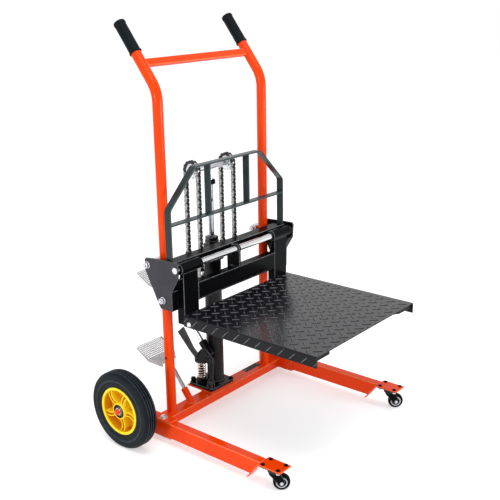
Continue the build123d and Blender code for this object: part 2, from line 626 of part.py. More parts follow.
# Carriage side plates: one outside each tube, with a front lip.
rear_edge = roller_y + 11
plate_low = roller_axes[1][1] - 29
waist_z = roller_axes[0][1] - 16
lip_y = arm_rear - 8
lip_z = roller_axes[1][1] + 34
nose = (shaft_y - 12, shaft_z - 27)
behind = [(rear_edge, waist_z), (-8, roller_axes[1][1] - 10), (-20, plate_low)]
outer = [(rear_edge - 6, TOP_BAR_Z + 3), (rear_edge, TOP_BAR_Z - 4)] + behind
outer += [(lip_y, plate_low), (lip_y - 1, lip_z), nose, (nose[0] - 3, TOP_BAR_Z + 4),
          (nose[0] + 3, TOP_BAR_Z + 10), (10, TOP_BAR_Z + 6)]
side_plate = slab(outer, plate_x)
lip = [(lip_y, plate_low), (lip_y + PLATE_T, plate_low), (lip_y - 1 + PLATE_T, lip_z + 1),
       (nose[0] + PLATE_T, nose[1] + 2), nose, (lip_y - 1, lip_z)]
side_plate += slab(lip, (arm_x[1] + 4, plate_x[0]))
side_plate -= rod_x(plate_x, shaft_y, shaft_z, FORK_SHAFT_D)
for spot in roller_axes:
    side_plate -= rod_x(plate_x, spot[0], spot[1], AXLE_BOLT_D)
both("side_plate", side_plate)

# Carriage bars: box tubes between the side plates, one across the top and one in front of the low rollers.
bar_wall = 3.0
top_bar = box((-plate_x[0], plate_x[0]), bar_y, bar_z)
top_bar -= box((-plate_x[0], plate_x[0]), (bar_y[0] + bar_wall, bar_y[1] - bar_wall),
               (bar_z[0] + bar_wall, bar_z[1] - bar_wall))
parts["carriage_top_bar"] = top_bar
low_bar = box((-plate_x[0], plate_x[0]), low_y, low_z)
low_bar -= box((-plate_x[0], plate_x[0]), (low_y[0] + bar_wall, low_y[1] - bar_wall),
               (low_z[0] + bar_wall, low_z[1] - bar_wall))
for side in (-1, 1):
    tab_x = (side * SPROCKET_X - 9, side * SPROCKET_X + 9)
    low_bar += box(tab_x, (low_y[0] + 4, front_y + 8), (low_top, tab_top))
parts["carriage_low_bar"] = low_bar

# Fork shaft: bright round bar through both outer plates, held in the middle by a lug.
parts["fork_shaft"] = rod_x((-plate_x[1], plate_x[1]), shaft_y, shaft_z, FORK_SHAFT_D)
lug_front = shaft_y - LUG_R + 2
lug_x = (-LUG_T / 2, LUG_T / 2)
lug_low = cross_z[1] + 3
lug_edge = [(low_y[1], low_top), (low_y[0] + 1, low_top), (low_y[0] + 1, lug_low), (lug_front, lug_low),
            (lug_front, shaft_z), (bar_y[0], shaft_z + LUG_R - 1), (bar_y[0], bar_z[0]), (low_y[1], bar_z[0])]
lug = slab(lug_edge, lug_x)
lug += rod_x(lug_x, shaft_y, shaft_z, 2 * LUG_R)
lug -= rod_x(lug_x, shaft_y, shaft_z, FORK_SHAFT_D)
parts["centre_lug"] = lug

# Roller bolts: bolts through the side plates that carry the rollers, with heads outside and nuts inside.
bolts = []
for spot in roller_axes:
    washer = (roller_x[0] - SIDE_PLAY - 2, roller_x[0] - SIDE_PLAY)
    bolt = rod_x((washer[0] - 10, plate_x[1]), spot[0], spot[1], AXLE_BOLT_D)
    bolt += hex_x((plate_x[1], plate_x[1] + 6.5), spot[0], spot[1], BOLT_AF)
    bolt += hex_x((washer[0] - 8, washer[0]), spot[0], spot[1], BOLT_AF)
    bolt += rod_x(washer, spot[0], spot[1], 2 * AXLE_BOLT_D)
    bolt += rod_x((roller_x[1] + SIDE_PLAY, plate_x[0]), spot[0], spot[1], 1.6 * AXLE_BOLT_D)
    bolts += [bolt, left(bolt)]
parts["roller_bolts"] = group(bolts)

# Rollers: steel rollers behind the tubes at the top and in front of them at the bottom.
for name, spot in (("roller_top", roller_axes[0]), ("roller_low", roller_axes[1])):
    roller = rod_x(roller_x, spot[0], spot[1], 2 * ROLLER_R)
    both(name, roller - rod_x(roller_x, spot[0], spot[1], AXLE_BOLT_D + 2 * RUN_FIT))

# Load guard: flat strip bent into an arch on the top bar, with a middle rail and two posts.
guard_x = plate_x[0] - GUARD_INSET
arch_half = [(guard_x, TOP_BAR_Z), (guard_x, GUARD_BEND_Z), (GUARD_TOP_X, GUARD_TOP_Z)]
arch = [(-x, z) for x, z in arch_half] + list(reversed(arch_half))
arch_face = Plane.XZ * trace(FilletPolyline(*arch, radius=22.0), line_width=GUARD_T)
guard = Pos(0, guard_y[0], 0) * extrude(arch_face, GUARD_W, dir=(0, 1, 0))
rail_x = guard_x - GUARD_T / 2
rail_z = (GUARD_MID_Z - GUARD_T / 2, GUARD_MID_Z + GUARD_T / 2)
guard += box((-rail_x, rail_x), guard_y, rail_z)
for side in (-1, 1):
    post = (side * GUARD_POST_X - GUARD_T / 2, side * GUARD_POST_X + GUARD_T / 2)
    guard += box(post, guard_y, (rail_z[1], GUARD_TOP_Z - GUARD_T / 2))
parts["load_guard"] = guard

# Forks: a hook over the shaft, a channel-shaped arm and a box-shaped blade under the platform.
deck_low = DECK_Z - DECK_T
heel = deck_low - BLADE_H
arm_top = shaft_z - 12
profile = [(arm_front, heel), (arm_front, arm_top), (arm_front + 12, arm_top), (arm_rear, arm_top - 76),
           (arm_rear, heel)]
fork = slab(profile, arm_x)
inside_top = arm_top - 16
inside = [(arm_front + ARM_T, heel - 1), (arm_front + ARM_T, inside_top), (arm_rear + 1, inside_top),
          (arm_rear + 1, heel - 1)]
fork -= slab(inside, (arm_x[0] + ARM_T, arm_x[1] - ARM_T))
blade_front = arm_front - DECK_LEN + BLADE_SHORT
blade = [(arm_front, heel), (arm_front, deck_low), (blade_front, deck_low), (blade_front, deck_low - 14),
         (blade_front + 40, heel)]
blade_wall = 4.0
fork += slab(blade, arm_x)
fork -= box((arm_x[0] + blade_wall, arm_x[1] - blade_wall), (blade_front + 40 + blade_wall, arm_front - 2),
            (heel - 1, deck_low - blade_wall))
fork += rod_x(hook_x, shaft_y, shaft_z, 2 * hook_r)
fork -= rod_x(hook_x, shaft_y, shaft_z, FORK_SHAFT_D + 2 * RUN_FIT)
hook_open = box((hook_x[0] - 1, hook_x[1] + 1), (shaft_y + 3, shaft_y + 40), (shaft_z - 40, shaft_z - 4))
fork -= hook_open - box((arm_x[0] - 1, arm_x[1] + 1), (arm_front, arm_rear), (heel, arm_top))
both("fork", fork)
cross_wall = 4.0
cross = box((-arm_x[0], arm_x[0]), (arm_front, arm_rear), cross_z)
cross -= box((-arm_x[0], arm_x[0]), (arm_front + cross_wall, arm_rear - cross_wall),
             (cross_z[0] + cross_wall, cross_z[1] - cross_wall))
parts["fork_cross_plate"] = cross

# Platform: chequered plate folded down at both sides, lying on the blades.
deck_front = arm_front - DECK_LEN
deck = box((-DECK_HALF, DECK_HALF), (deck_front, arm_front), (DECK_Z - FLANGE_H, DECK_Z))
deck -= box((DECK_T - DECK_HALF, DECK_HALF - DECK_T), (deck_front - 1, arm_front + 1),
            (DECK_Z - FLANGE_H - 1, deck_low))
deck_bolt_y = arm_front - 22
deck_bolt_z = DECK_Z - FLANGE_H / 2 - 6
deck_hole = rod_x((-DECK_HALF - 1, DECK_HALF + 1), deck_bolt_y, deck_bolt_z, DECK_BOLT_D + 2 * BOLT_PLAY)
deck -= deck_hole
parts["platform"] = deck
deck_bolt = rod_x((arm_x[1] - 4, DECK_HALF + 2), deck_bolt_y, deck_bolt_z, DECK_BOLT_D)
deck_bolt += rod_x((arm_x[1], DECK_HALF - DECK_T), deck_bolt_y, deck_bolt_z, 2 * DECK_BOLT_D)
deck_bolt += rod_x((DECK_HALF, DECK_HALF + 4), deck_bolt_y, deck_bolt_z, 1.9 * DECK_BOLT_D)
for side in ("right", "left"):
    parts["fork_" + side] -= deck_hole
parts["platform_bolts"] = pair(deck_bolt)

# Pump: seat and neck on the jack base, spring round the neck, plunger with a side pin.
seat_z = base_top + PUMP_SEAT_H
neck_top = seat_z + PUMP_NECK_H
spring_top = seat_z + SPRING_LEN
pin_z = spring_top + PUMP_PIN_RISE
barrel = rod_z(PUMP_X, pump_y, (base_top, seat_z), barrel_d)
barrel += rod_z(PUMP_X, pump_y, (seat_z, neck_top), PLUNGER_D + 8)
parts["pump_barrel"] = barrel - rod_z(PUMP_X, pump_y, (base_top + 2, neck_top), PLUNGER_D + 2 * RUN_FIT)
plunger = rod_z(PUMP_X, pump_y, (seat_z, spring_top), PLUNGER_D)
plunger += rod_z(PUMP_X, pump_y, (spring_top, spring_top + 4), 2 * SPRING_R + SPRING_WIRE)
plunger += rod_z(PUMP_X, pump_y, (spring_top + 4, pin_z + 7), 22.0)
plunger += rod_x((lever_x[0] + 0.2, PUMP_X), pump_y, pin_z, PUMP_PIN_D)
parts["pump_plunger"] = plunger


def helix_path(radius, low, high, turns):
    """Helix as quarter turns, each made of two tangent arcs."""
    steps = 4 * turns
    climb = (high - low) / steps
    points = []
    tangents = []
    for i in range(steps + 1):
        a = math.pi / 2 * i
        points.append(Vector(radius * math.cos(a), radius * math.sin(a), low + climb * i))
        tangents.append(Vector(-radius * math.sin(a), radius * math.cos(a), climb * 2 / math.pi).normalized())
    edges = []
    for i in range(steps):
        p, q = points[i], points[i + 1]
        t, u = tangents[i], tangents[i + 1]
        v = q - p
        s = t + u
        k = 2 * (1 - t.dot(u))
        d = (-v.dot(s) + math.sqrt(v.dot(s) ** 2 + k * v.dot(v))) / k
        middle = (p + q + (t - u) * d) * 0.5
        edges.append(TangentArc(p, middle, tangent=t))
        edges.append(TangentArc(middle, q, tangent=middle - (p + t * d)))
    return Wire(edges)


# Pump spring: one unbroken wire between the seat and the plunger head.
coil_low = seat_z + SPRING_WIRE / 2
coil_high = spring_top - SPRING_WIRE / 2
coil = helix_path(SPRING_R, coil_low, coil_high, SPRING_TURNS)
coil_start = Plane(origin=coil @ 0, z_dir=coil % 0)
spring = sweep(coil_start * Circle(SPRING_WIRE / 2), path=coil)
parts["pump_spring"] = Pos(PUMP_X, pump_y, 0) * spring
coil_points = [coil @ (i / 480) for i in range(481)]
turn = 480 // SPRING_TURNS
near = min((coil_points[i] - coil_points[j]).length
           for i in range(481) for j in range(i + turn // 2, 481))
print("least gap between spring turns", round(near - SPRING_WIRE, 2))

# Fulcrum link: flat bar that rocks on the base ears and carries the lever's pin.
link_top = (pump_y - LINK_TOP_FWD, pin_z + LINK_TOP_RISE)
link_run = (link_top[0] - link_low[0], link_top[1] - link_low[1])
link_face = SlotCenterToCenter(math.hypot(link_run[0], link_run[1]), LINK_W)
link_tilt = math.degrees(math.atan2(link_run[1], link_run[0]))
link_mid = Pos((link_top[0] + link_low[0]) / 2, (link_top[1] + link_low[1]) / 2)
link = extrude(Plane.YZ * link_mid * Rot(0, 0, link_tilt) * link_face, LINK_T, dir=(1, 0, 0))
link = Pos(link_x[0], 0, 0) * link
link -= rod_x(link_x, link_low[0], link_low[1], PUMP_PIN_D + 2 * RUN_FIT)
link += rod_x((lever_x[0] - 2, link_x[0]), link_top[0], link_top[1], PUMP_PIN_D)
parts["fulcrum_link"] = link

# Pump lever: side cheek between the link pin and the plunger pin, with the slanted socket of the pedal rod.
lever_y = pump_y - LEVER_FWD
lever_z = pin_z + LEVER_RISE
cheek_edge = [(link_top[0] + 3, link_top[1] - 11), (link_top[0] - 10, link_top[1] - 7),
              (link_top[0] - 9, link_top[1] + 9), (lever_y + 14, lever_z + 25), (lever_y + 34, lever_z + 17),
              (pump_y + 11, pin_z + 10), (pump_y + 11, pin_z - 8), (pump_y + 4, pin_z - 12),
              (pump_y - 8, pin_z - 11)]
cheek = slab(cheek_edge, lever_x)
pin_tilt = math.degrees(math.atan2(pin_z - link_top[1], pump_y - link_top[0]))
socket_x = lever_in + LEVER_SOCKET_D / 4
lever_plane = slanted(socket_x, lever_y, lever_z, LEVER_ANGLE)
lever = cheek + lever_plane * Pos(0, 0, LEVER_SOCKET_LEN / 2) * Cylinder(LEVER_SOCKET_D / 2, LEVER_SOCKET_LEN)
rod_from = 6.0
rod_hole = Pos(0, 0, (rod_from + LEVER_SOCKET_LEN) / 2) * Cylinder(ROD_D / 2, LEVER_SOCKET_LEN - rod_from)
lever -= lever_plane * rod_hole
lever -= rod_x((lever_x[0] - 9, lever_x[1]), link_top[0], link_top[1], PUMP_PIN_D + 2 * RUN_FIT)
pin_slot = SlotCenterToCenter(4.0, PUMP_PIN_D + 1.2)
slot_cut = extrude(Plane.YZ * Pos(pump_y, pin_z) * Rot(0, 0, pin_tilt) * pin_slot, 40, dir=(1, 0, 0))
lever -= Pos(lever_x[0] - 20, 0, 0) * slot_cut
parts["pump_lever"] = lever

# Side arm: cranked flat bar on the outside of the lever cheek.
arm_bend = (pump_y + 18, pin_z + 36)
arm_line = FilletPolyline((pump_y - 4, pin_z + 18), arm_bend, (pump_y + 70, pin_z + 95), radius=12.0)
side_arm = extrude(Plane.YZ * trace(arm_line, line_width=22.0), LEVER_T, dir=(1, 0, 0))
parts["lever_side_arm"] = Pos(lever_x[0] - LEVER_T, 0, 0) * side_arm


def pedal(x, y, z):
    """Tread plate on top of a rod: flat in front with one corner cut away, turned up at the back."""
    wide = (x - PEDAL_W / 2, x + PEDAL_W / 2)
    kink_y = y + PEDAL_FLAT
    back_y = kink_y + PEDAL_RUN
    back_z = z + PEDAL_RISE
    under = [(y - PEDAL_FRONT, z), (kink_y, z), (back_y, back_z)]
    plate = slab(under + [(py, pz + PEDAL_T) for py, pz in reversed(under)], wide)
    fold = [(y - PEDAL_FRONT, z - PEDAL_LIP), (kink_y, z - PEDAL_LIP), (back_y, back_z - PEDAL_LIP / 2),
            (back_y, back_z), (kink_y, z), (y - PEDAL_FRONT, z)]
    for edge in (wide[0], wide[1] - PEDAL_T):
        plate += slab(fold, (edge, edge + PEDAL_T))
    front_y = y - PEDAL_FRONT - 1
    corner = [(wide[1] + 1, kink_y), (wide[1] + 1, front_y), (wide[1] - PEDAL_CUT, front_y)]
    cut = extrude(make_face(Polyline(*corner, close=True)), 60, dir=(0, 0, 1))
    return plate - Pos(0, 0, z - 30) * cut


# Pump pedal: rod held in the lever socket, with a tread plate welded on top.
rise = math.radians(LEVER_ANGLE)
rod_top = (lever_y + ROD_LEN * math.cos(rise), lever_z + ROD_LEN * math.sin(rise))
pedal_rod = lever_plane * Pos(0, 0, (rod_from + ROD_LEN + 12) / 2)
pedal_rod = pedal_rod * Cylinder(ROD_D / 2, ROD_LEN + 12 - rod_from)
pedal_rod -= box((-200, 200), (-500, 900), (rod_top[1], rod_top[1] + 100))
parts["pump_pedal"] = pedal_rod + pedal(socket_x, rod_top[0], rod_top[1])

# Foot step: the same tread plate on a rod fixed in the beam's socket.
rise = math.radians(STEP_ANGLE)
step_top = (STEP_Y + STEP_ROD_LEN * math.cos(rise), beam_top + STEP_ROD_LEN * math.sin(rise))
step_rod = step_plane * Pos(0, 0, (step_bore_from + STEP_ROD_LEN + 12) / 2)
step_rod = step_rod * Cylinder(ROD_D / 2, STEP_ROD_LEN + 12 - step_bore_from)
step_rod -= box((-300, 300), (-500, 900), (step_top[1], step_top[1] + 100))
parts["foot_step"] = step_rod + pedal(STEP_X, step_top[0], step_top[1])

# Release valve: screw with a round head in the corner of the jack base.
valve = rod_z(valve_at[0], valve_at[1], (base_top - 4, base_top + STOP_GAP), VALVE_D / 2)
valve += rod_z(valve_at[0], valve_at[1], (base_top + STOP_GAP, base_top + 15), VALVE_D)
parts["release_valve"] = valve

# Frame bolts: through the leg sockets, the caster plates and the jack base.
frame_bolts = []
leg_bolt = hex_z(LEG_X, LEG_BOLT_Y, (socket_top, socket_top + 7), BOLT_AF)
leg_bolt += rod_z(LEG_X, LEG_BOLT_Y, (socket_low - 9, socket_top), LEG_BOLT_D)
leg_bolt += hex_z(LEG_X, LEG_BOLT_Y, (socket_low - 8, socket_low), BOLT_AF)
frame_bolts += [leg_bolt, left(leg_bolt)]
for spot in bolt_spots:
    bolt = rod_z(spot[0], spot[1], (leg_top, leg_top + 4.5), 11.0)
    bolt += rod_z(spot[0], spot[1], (mount_low - 6, leg_top), caster_bolt_d)
    bolt += hex_z(spot[0], spot[1], (mount_low - 5, mount_low), 10.0)
    frame_bolts += [bolt, left(bolt)]
for spot in jack_bolts:
    bolt = hex_z(spot[0], spot[1], (base_top, base_top + 6), 13.0)
    frame_bolts.append(bolt + rod_z(spot[0], spot[1], (mount_z[0], base_top), JACK_BOLT_D))
parts["frame_bolts"] = group(frame_bolts)

# Write every piece with the footprint's middle at the origin.
boxes = [shape.bounding_box() for shape in parts.values()]
shift = -(min(b.min.Y for b in boxes) + max(b.max.Y for b in boxes)) / 2
for name, shape in parts.items():
    export_step(Pos(0, shift, 0) * shape, "parts/" + name + ".step")
print("pieces", len(parts), "shift in Y", round(shift, 3))
print("width", round(max(b.max.X for b in boxes) - min(b.min.X for b in boxes), 2))
print("depth", round(max(b.max.Y for b in boxes) - min(b.min.Y for b in boxes), 2))
print("height", round(max(b.max.Z for b in boxes), 2), "lowest", round(min(b.min.Z for b in boxes), 3))
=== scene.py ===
import json
import math

import bmesh
import bpy
from mathutils import Matrix, Vector


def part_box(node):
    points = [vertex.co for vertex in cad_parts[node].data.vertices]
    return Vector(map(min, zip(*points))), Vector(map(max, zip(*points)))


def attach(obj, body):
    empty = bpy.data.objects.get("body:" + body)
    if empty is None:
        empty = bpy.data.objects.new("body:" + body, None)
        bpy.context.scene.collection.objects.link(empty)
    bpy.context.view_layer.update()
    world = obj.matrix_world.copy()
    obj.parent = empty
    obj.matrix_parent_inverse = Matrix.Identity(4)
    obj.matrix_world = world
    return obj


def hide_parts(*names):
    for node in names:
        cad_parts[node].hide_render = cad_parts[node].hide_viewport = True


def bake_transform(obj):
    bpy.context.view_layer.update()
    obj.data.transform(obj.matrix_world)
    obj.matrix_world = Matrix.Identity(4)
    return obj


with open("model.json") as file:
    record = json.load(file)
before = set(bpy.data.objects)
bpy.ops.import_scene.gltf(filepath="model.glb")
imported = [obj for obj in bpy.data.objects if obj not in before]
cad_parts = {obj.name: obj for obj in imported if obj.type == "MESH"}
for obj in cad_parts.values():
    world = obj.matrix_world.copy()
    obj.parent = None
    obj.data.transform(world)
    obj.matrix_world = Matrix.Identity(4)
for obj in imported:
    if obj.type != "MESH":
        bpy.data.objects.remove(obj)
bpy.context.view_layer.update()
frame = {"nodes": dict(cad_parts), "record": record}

# Studio: a pale floor that keeps the shadows, a white surround and soft lamps.
# The camera stands to the left of the truck's front, a little higher than the handle.
scene = bpy.context.scene
scene.view_settings.view_transform = "Standard"
camera_spot = (-2.0013, -1.6543, 1.3826)
camera_lens = 62.13
aim = math.radians(-50.1856)
tilt = math.radians(17.302)
camera_roll = math.radians(-0.9023)
back = Vector((math.sin(aim) * math.cos(tilt), -math.cos(aim) * math.cos(tilt), math.sin(tilt)))
level = Vector((math.cos(aim), math.sin(aim), 0))
rise = back.cross(level)
camera_right = level * math.cos(camera_roll) + rise * math.sin(camera_roll)
camera_up = rise * math.cos(camera_roll) - level * math.sin(camera_roll)
stand = Matrix((camera_right, camera_up, back)).transposed().to_4x4()
stand.translation = camera_spot
camera = bpy.data.objects.new("camera", bpy.data.cameras.new("camera"))
camera.data.lens = camera_lens
camera.data.sensor_width = 36
camera.matrix_world = stand
scene.collection.objects.link(camera)
scene.camera = camera
lamp_aim = Vector((0, 0, 0.5))


def soft_lamp(name, spot, size, power):
    """A square lamp that faces the middle of the truck."""
    light = bpy.data.lights.new(name, "AREA")
    light.size = size
    light.energy = power
    lamp = bpy.data.objects.new(name, light)
    lamp.location = spot
    lamp.rotation_euler = (lamp_aim - Vector(spot)).to_track_quat("-Z", "Y").to_euler()
    scene.collection.objects.link(lamp)


soft_lamp("lamp_overhead", (-0.8, -0.9, 4.6), 3.0, 86)
soft_lamp("lamp_left", (-4.3, 0.1, 1.0), 0.9, 54)
soft_lamp("lamp_front", (1.2, -3.2, 0.7), 0.9, 40)


def feed(tree, node, feeds):
    """Joins each named input of a shader node to an output, or sets its value."""
    for name, value in feeds.items():
        if isinstance(value, bpy.types.NodeSocket):
            tree.links.new(value, node.inputs[name])
        else:
            node.inputs[name].default_value = value


def shader_node(tree, kind, feeds, **settings):
    """A new shader node with its settings and inputs; gives back its outputs."""
    made = tree.nodes.new("ShaderNode" + kind)
    for name, value in settings.items():
        setattr(made, name, value)
    feed(tree, made, feeds)
    return made.outputs


def mixed(tree, share, first, second):
    """A colour between two others, by a share."""
    return shader_node(tree, "Mix", {0: share, 6: first, 7: second}, data_type="RGBA")[2]


def seen_as_white(tree):
    """One for rays from the camera, a mirror or glass, and nought for rays that carry light."""
    path = shader_node(tree, "LightPath", {})
    seen = path["Is Camera Ray"]
    for ray in ("Is Glossy Ray", "Is Transmission Ray"):
        seen = shader_node(tree, "Math", {0: seen, 1: path[ray]}, operation="MAXIMUM")[0]
    return seen


surround = bpy.data.worlds.new("surround")
surround.use_nodes = True
scene.world = surround
sky = surround.node_tree
light_sky = sky.nodes["Background"]
feed(sky, light_sky, {"Color": (0.96, 0.98, 1.0, 1), "Strength": 0.72})
white_sky = shader_node(sky, "Background", {"Color": (1, 1, 1, 1), "Strength": 1.0})
sky_mix = shader_node(
    sky, "MixShader", {"Fac": seen_as_white(sky), 1: light_sky.outputs[0], 2: white_sky[0]})
feed(sky, sky.nodes["World Output"], {"Surface": sky_mix[0]})

floor_paper = bpy.data.materials.new("floor_paper")
floor_paper.use_nodes = True
paper = floor_paper.node_tree
paper_place = shader_node(paper, "TexCoord", {})
paper_fibre = shader_node(paper, "TexNoise", {"Vector": paper_place["Object"], "Scale": 60})
paper_tint = mixed(paper, paper_fibre["Fac"], (0.87, 0.87, 0.88, 1), (0.89, 0.89, 0.89, 1))
paper_face = paper.nodes["Principled BSDF"]
feed(paper, paper_face, {"Base Color": paper_tint, "Roughness": 0.9, "Specular IOR Level": 0.1})
paper_lift = shader_node(paper, "Math", {0: seen_as_white(paper), 1: 0.42}, operation="MULTIPLY")
paper_glow = shader_node(paper, "Emission", {"Strength": paper_lift[0]})
paper_sum = shader_node(paper, "AddShader", {0: paper_face.outputs[0], 1: paper_glow[0]})
feed(paper, paper.nodes["Material Output"], {"Surface": paper_sum[0]})
floor_shape = bmesh.new()
bmesh.ops.create_grid(floor_shape, x_segments=2, y_segments=2, size=14)
floor_mesh = bpy.data.meshes.new("floor")
floor_shape.to_mesh(floor_mesh)
floor_shape.free()
floor_mesh.materials.append(floor_paper)
floor = bpy.data.objects.new("floor", floor_mesh)
scene.collection.objects.link(floor)

# Uprights: two bent steel tubes in gloss orange-red powder coat, standing on the base beam.
# Each foot is welded all round, and a flat oval tube is welded between them below the grips.
carrier = {node: body for body, nodes in frame["record"]["behaviour"]["bodies"].items() for node in nodes}
coat = bpy.data.node_groups.new("coat_skin", "ShaderNodeTree")
skin_sockets = (("Cloud", "Float", 12.0), ("Grain", "Float", 400.0), ("Stretch", "Vector", (1, 1, 1)))
for name, kind, preset in skin_sockets:
    socket = coat.interface.new_socket(name, in_out="INPUT", socket_type="NodeSocket" + kind)
    socket.default_value = preset
for name in ("Tone", "Peel", "Edge"):
    coat.interface.new_socket(name, in_out="OUTPUT", socket_type="NodeSocketFloat")
skin_given = coat.nodes.new("NodeGroupInput").outputs
skin_place = shader_node(coat, "TexCoord", {})
skin_map = shader_node(coat, "Mapping", {"Vector": skin_place["Object"], "Scale": skin_given["Stretch"]})
spread = skin_map["Vector"]
skin_cloud = shader_node(coat, "TexNoise", {"Vector": spread, "Scale": skin_given["Cloud"], "Detail": 4})
skin_grain = shader_node(coat, "TexNoise", {"Vector": spread, "Scale": skin_given["Grain"], "Detail": 3})
skin_edge_breakup = shader_node(coat, "TexNoise", {"Vector": spread, "Scale": 90})
skin_tone = shader_node(coat, "MapRange", {"Value": skin_cloud["Fac"], "From Min": 0.3, "From Max": 0.7})
# Marked rounded edges, broken up by noise, take a lighter colour: partly paint wear, partly painted
# highlight.
skin_rims = shader_node(coat, "Attribute", {}, attribute_name="edge")
skin_edge = shader_node(coat, "Math", {0: skin_rims["Fac"], 1: skin_edge_breakup["Fac"]}, operation="MULTIPLY")
feed(coat, coat.nodes.new("NodeGroupOutput"),
     {"Tone": skin_tone["Result"], "Peel": skin_grain["Fac"], "Edge": skin_edge[0]})


def display(red, green, blue):
    """A colour as seen on a screen, in the renderer's own values."""
    return [c / 12.92 if c < 0.04045 else ((c + 0.055) / 1.055) ** 2.4 for c in (red, green, blue)] + [1]


def finish(name, main, second, edge, rough, grain, bump, cloud=12, metal=0, stretch=(1, 1, 1), shine=0.5):
    """A coat or bare surface: two tones that cloud into each other, fine relief, and lighter edges that are
    partly wear and partly painted highlight.
    """
    made = bpy.data.materials.new(name)
    made.use_nodes = True
    tree = made.node_tree
    skin = shader_node(tree, "Group", {"Cloud": cloud, "Grain": grain, "Stretch": stretch}, node_tree=coat)
    tones = mixed(tree, skin["Tone"], display(*main), display(*second))
    gloss = shader_node(tree, "MapRange", {"Value": skin["Tone"], "To Min": rough[0], "To Max": rough[1]})
    relief = shader_node(tree, "Bump", {"Height": skin["Peel"], "Strength": bump, "Distance": 0.0005})
    feed(tree, tree.nodes["Principled BSDF"], {
        "Base Color": mixed(tree, skin["Edge"], tones, display(*edge)), "Roughness": gloss["Result"],
        "Normal": relief["Normal"], "Metallic": metal, "Specular IOR Level": shine})
    return made


# The pale edge colour lays painted highlight lines along the rounded edges, with a little paint wear.
frame_paint = finish(
    "orange_powder_coat", (0.945, 0.268, 0.01), (0.925, 0.245, 0.008), (1.0, 0.56, 0.38), (0.1, 0.16), 650,
    0.04, shine=0.14)


def copy_of(node):
    """A merged copy of a CAD node's mesh, with its flat faces whole again."""
    shape = bmesh.new()
    shape.from_mesh(frame["nodes"][node].data)
    bmesh.ops.remove_doubles(shape, verts=shape.verts, dist=1e-5)
    bmesh.ops.dissolve_limit(shape, angle_limit=math.radians(1), verts=shape.verts, edges=shape.edges)
    return shape


def rounded(shape, edges, radius, steps):
    """Rounds some edges of a shape and gives back the narrow faces this makes."""
    return bmesh.ops.bevel(
        shape, geom=edges, offset=radius, offset_type="OFFSET", segments=steps, profile=0.5, affect="EDGES",
        clamp_overlap=False, material=-1)["faces"]


def soften(shape, radius, steps=2):
    """Rounds every sharp edge and marks the faces this makes, where paint wears first and a painted
    highlight goes.
    """
    mark = shape.faces.layers.float.get("edge") or shape.faces.layers.float.new("edge")
    sharp = math.radians(28)
    rims = [e for e in shape.edges if e.calc_face_angle(0) > sharp]
    for face in rounded(shape, rims, radius, steps):
        face[mark] = 1.0


def piece(shape, name, look, body, slot, *nodes, crease=40, even=False):
    """Turns a finished shape into a piece that rides on a body and stands for CAD nodes."""
    mesh = bpy.data.meshes.new(name)
    shape.to_mesh(mesh)
    shape.free()
    mesh.shade_smooth()
    mesh.set_sharp_from_angle(angle=math.radians(crease))
    mesh.materials.append(look)
    made = bpy.data.objects.new(name, mesh)
    scene.collection.objects.link(made)
    if even:
        made.modifiers.new("even_flats", "WEIGHTED_NORMAL").keep_sharp = True
    if body:
        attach(made, body)
    if nodes:
        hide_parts(*nodes)
    return made


def dress(node, name, look, slot, radius=0.0008, steps=2):
    """A CAD node with its edges rounded, its own finish and its own name."""
    shape = copy_of(node)
    soften(shape, radius, steps)
    piece(shape, name, look, carrier[node], slot, node, even=True)


def turned(profile, steps, ring=False):
    """A shape turned about Z from (radius, height) points; a ring's line is closed."""
    shape = bmesh.new()
    dots = [shape.verts.new((r, 0, z)) for r, z in profile]
    line = [shape.edges.new(ends) for ends in zip(dots, dots[1:])]
    if ring:
        line.append(shape.edges.new((dots[-1], dots[0])))
    bmesh.ops.spin(shape, geom=dots + line, cent=(0, 0, 0), axis=(0, 0, 1), angle=math.tau, steps=steps,
                   use_merge=True)
    bmesh.ops.remove_doubles(shape, verts=shape.verts, dist=1e-6)
    bmesh.ops.recalc_face_normals(shape, faces=shape.faces)
    return shape


def add(target, source, place=Matrix(), look=None):
    """Moves one shape to its place and joins it to another; look picks a later finish for it."""
    source.transform(place)
    for face in source.faces:
        face.material_index = look or face.material_index
    spare = bpy.data.meshes.new("spare")
    source.to_mesh(spare)
    source.free()
    target.from_mesh(spare)
    bpy.data.meshes.remove(spare)


moved = Matrix.Translation


def along(start, end):
    """Lays a shape that is built up from the origin along Z between two points."""
    run = Vector(end) - Vector(start)
    return moved(start) @ run.to_track_quat("Z", "Y").to_matrix().to_4x4()


def weld_ring(radius, bead):
    """A weld bead round a tube, rippled as the torch left it."""
    ring = turned([(radius - bead, 0), (radius - bead, bead), (radius, bead * 1.1),
                   (radius + bead * 0.7, bead * 0.6), (radius + bead, 0)], 96, ring=True)
    ripples = 24
    ripple_height = 0.035
    for dot in ring.verts:
        dot.co.z *= 1 + ripple_height * math.sin(ripples * math.atan2(dot.co.y, dot.co.x))
    return ring


for side in ("left", "right"):
    dress("upright_" + side, side + "_upright_tube", frame_paint, "frame_paint", 0.0004)
dress("handle_crossbar", "handle_cross_bar", frame_paint, "frame_paint", 0.003, 3)
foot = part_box("upright_right")[0]
tube_radius = 0.016
upright_x = foot.x + tube_radius
upright_y = foot.y + tube_radius
welds = bmesh.new()
for x in (-upright_x, upright_x):
    add(welds, weld_ring(tube_radius, 0.0032), moved((x, upright_y, foot.z)))
piece(welds, "upright_foot_welds", frame_paint, "frame", "frame_paint")

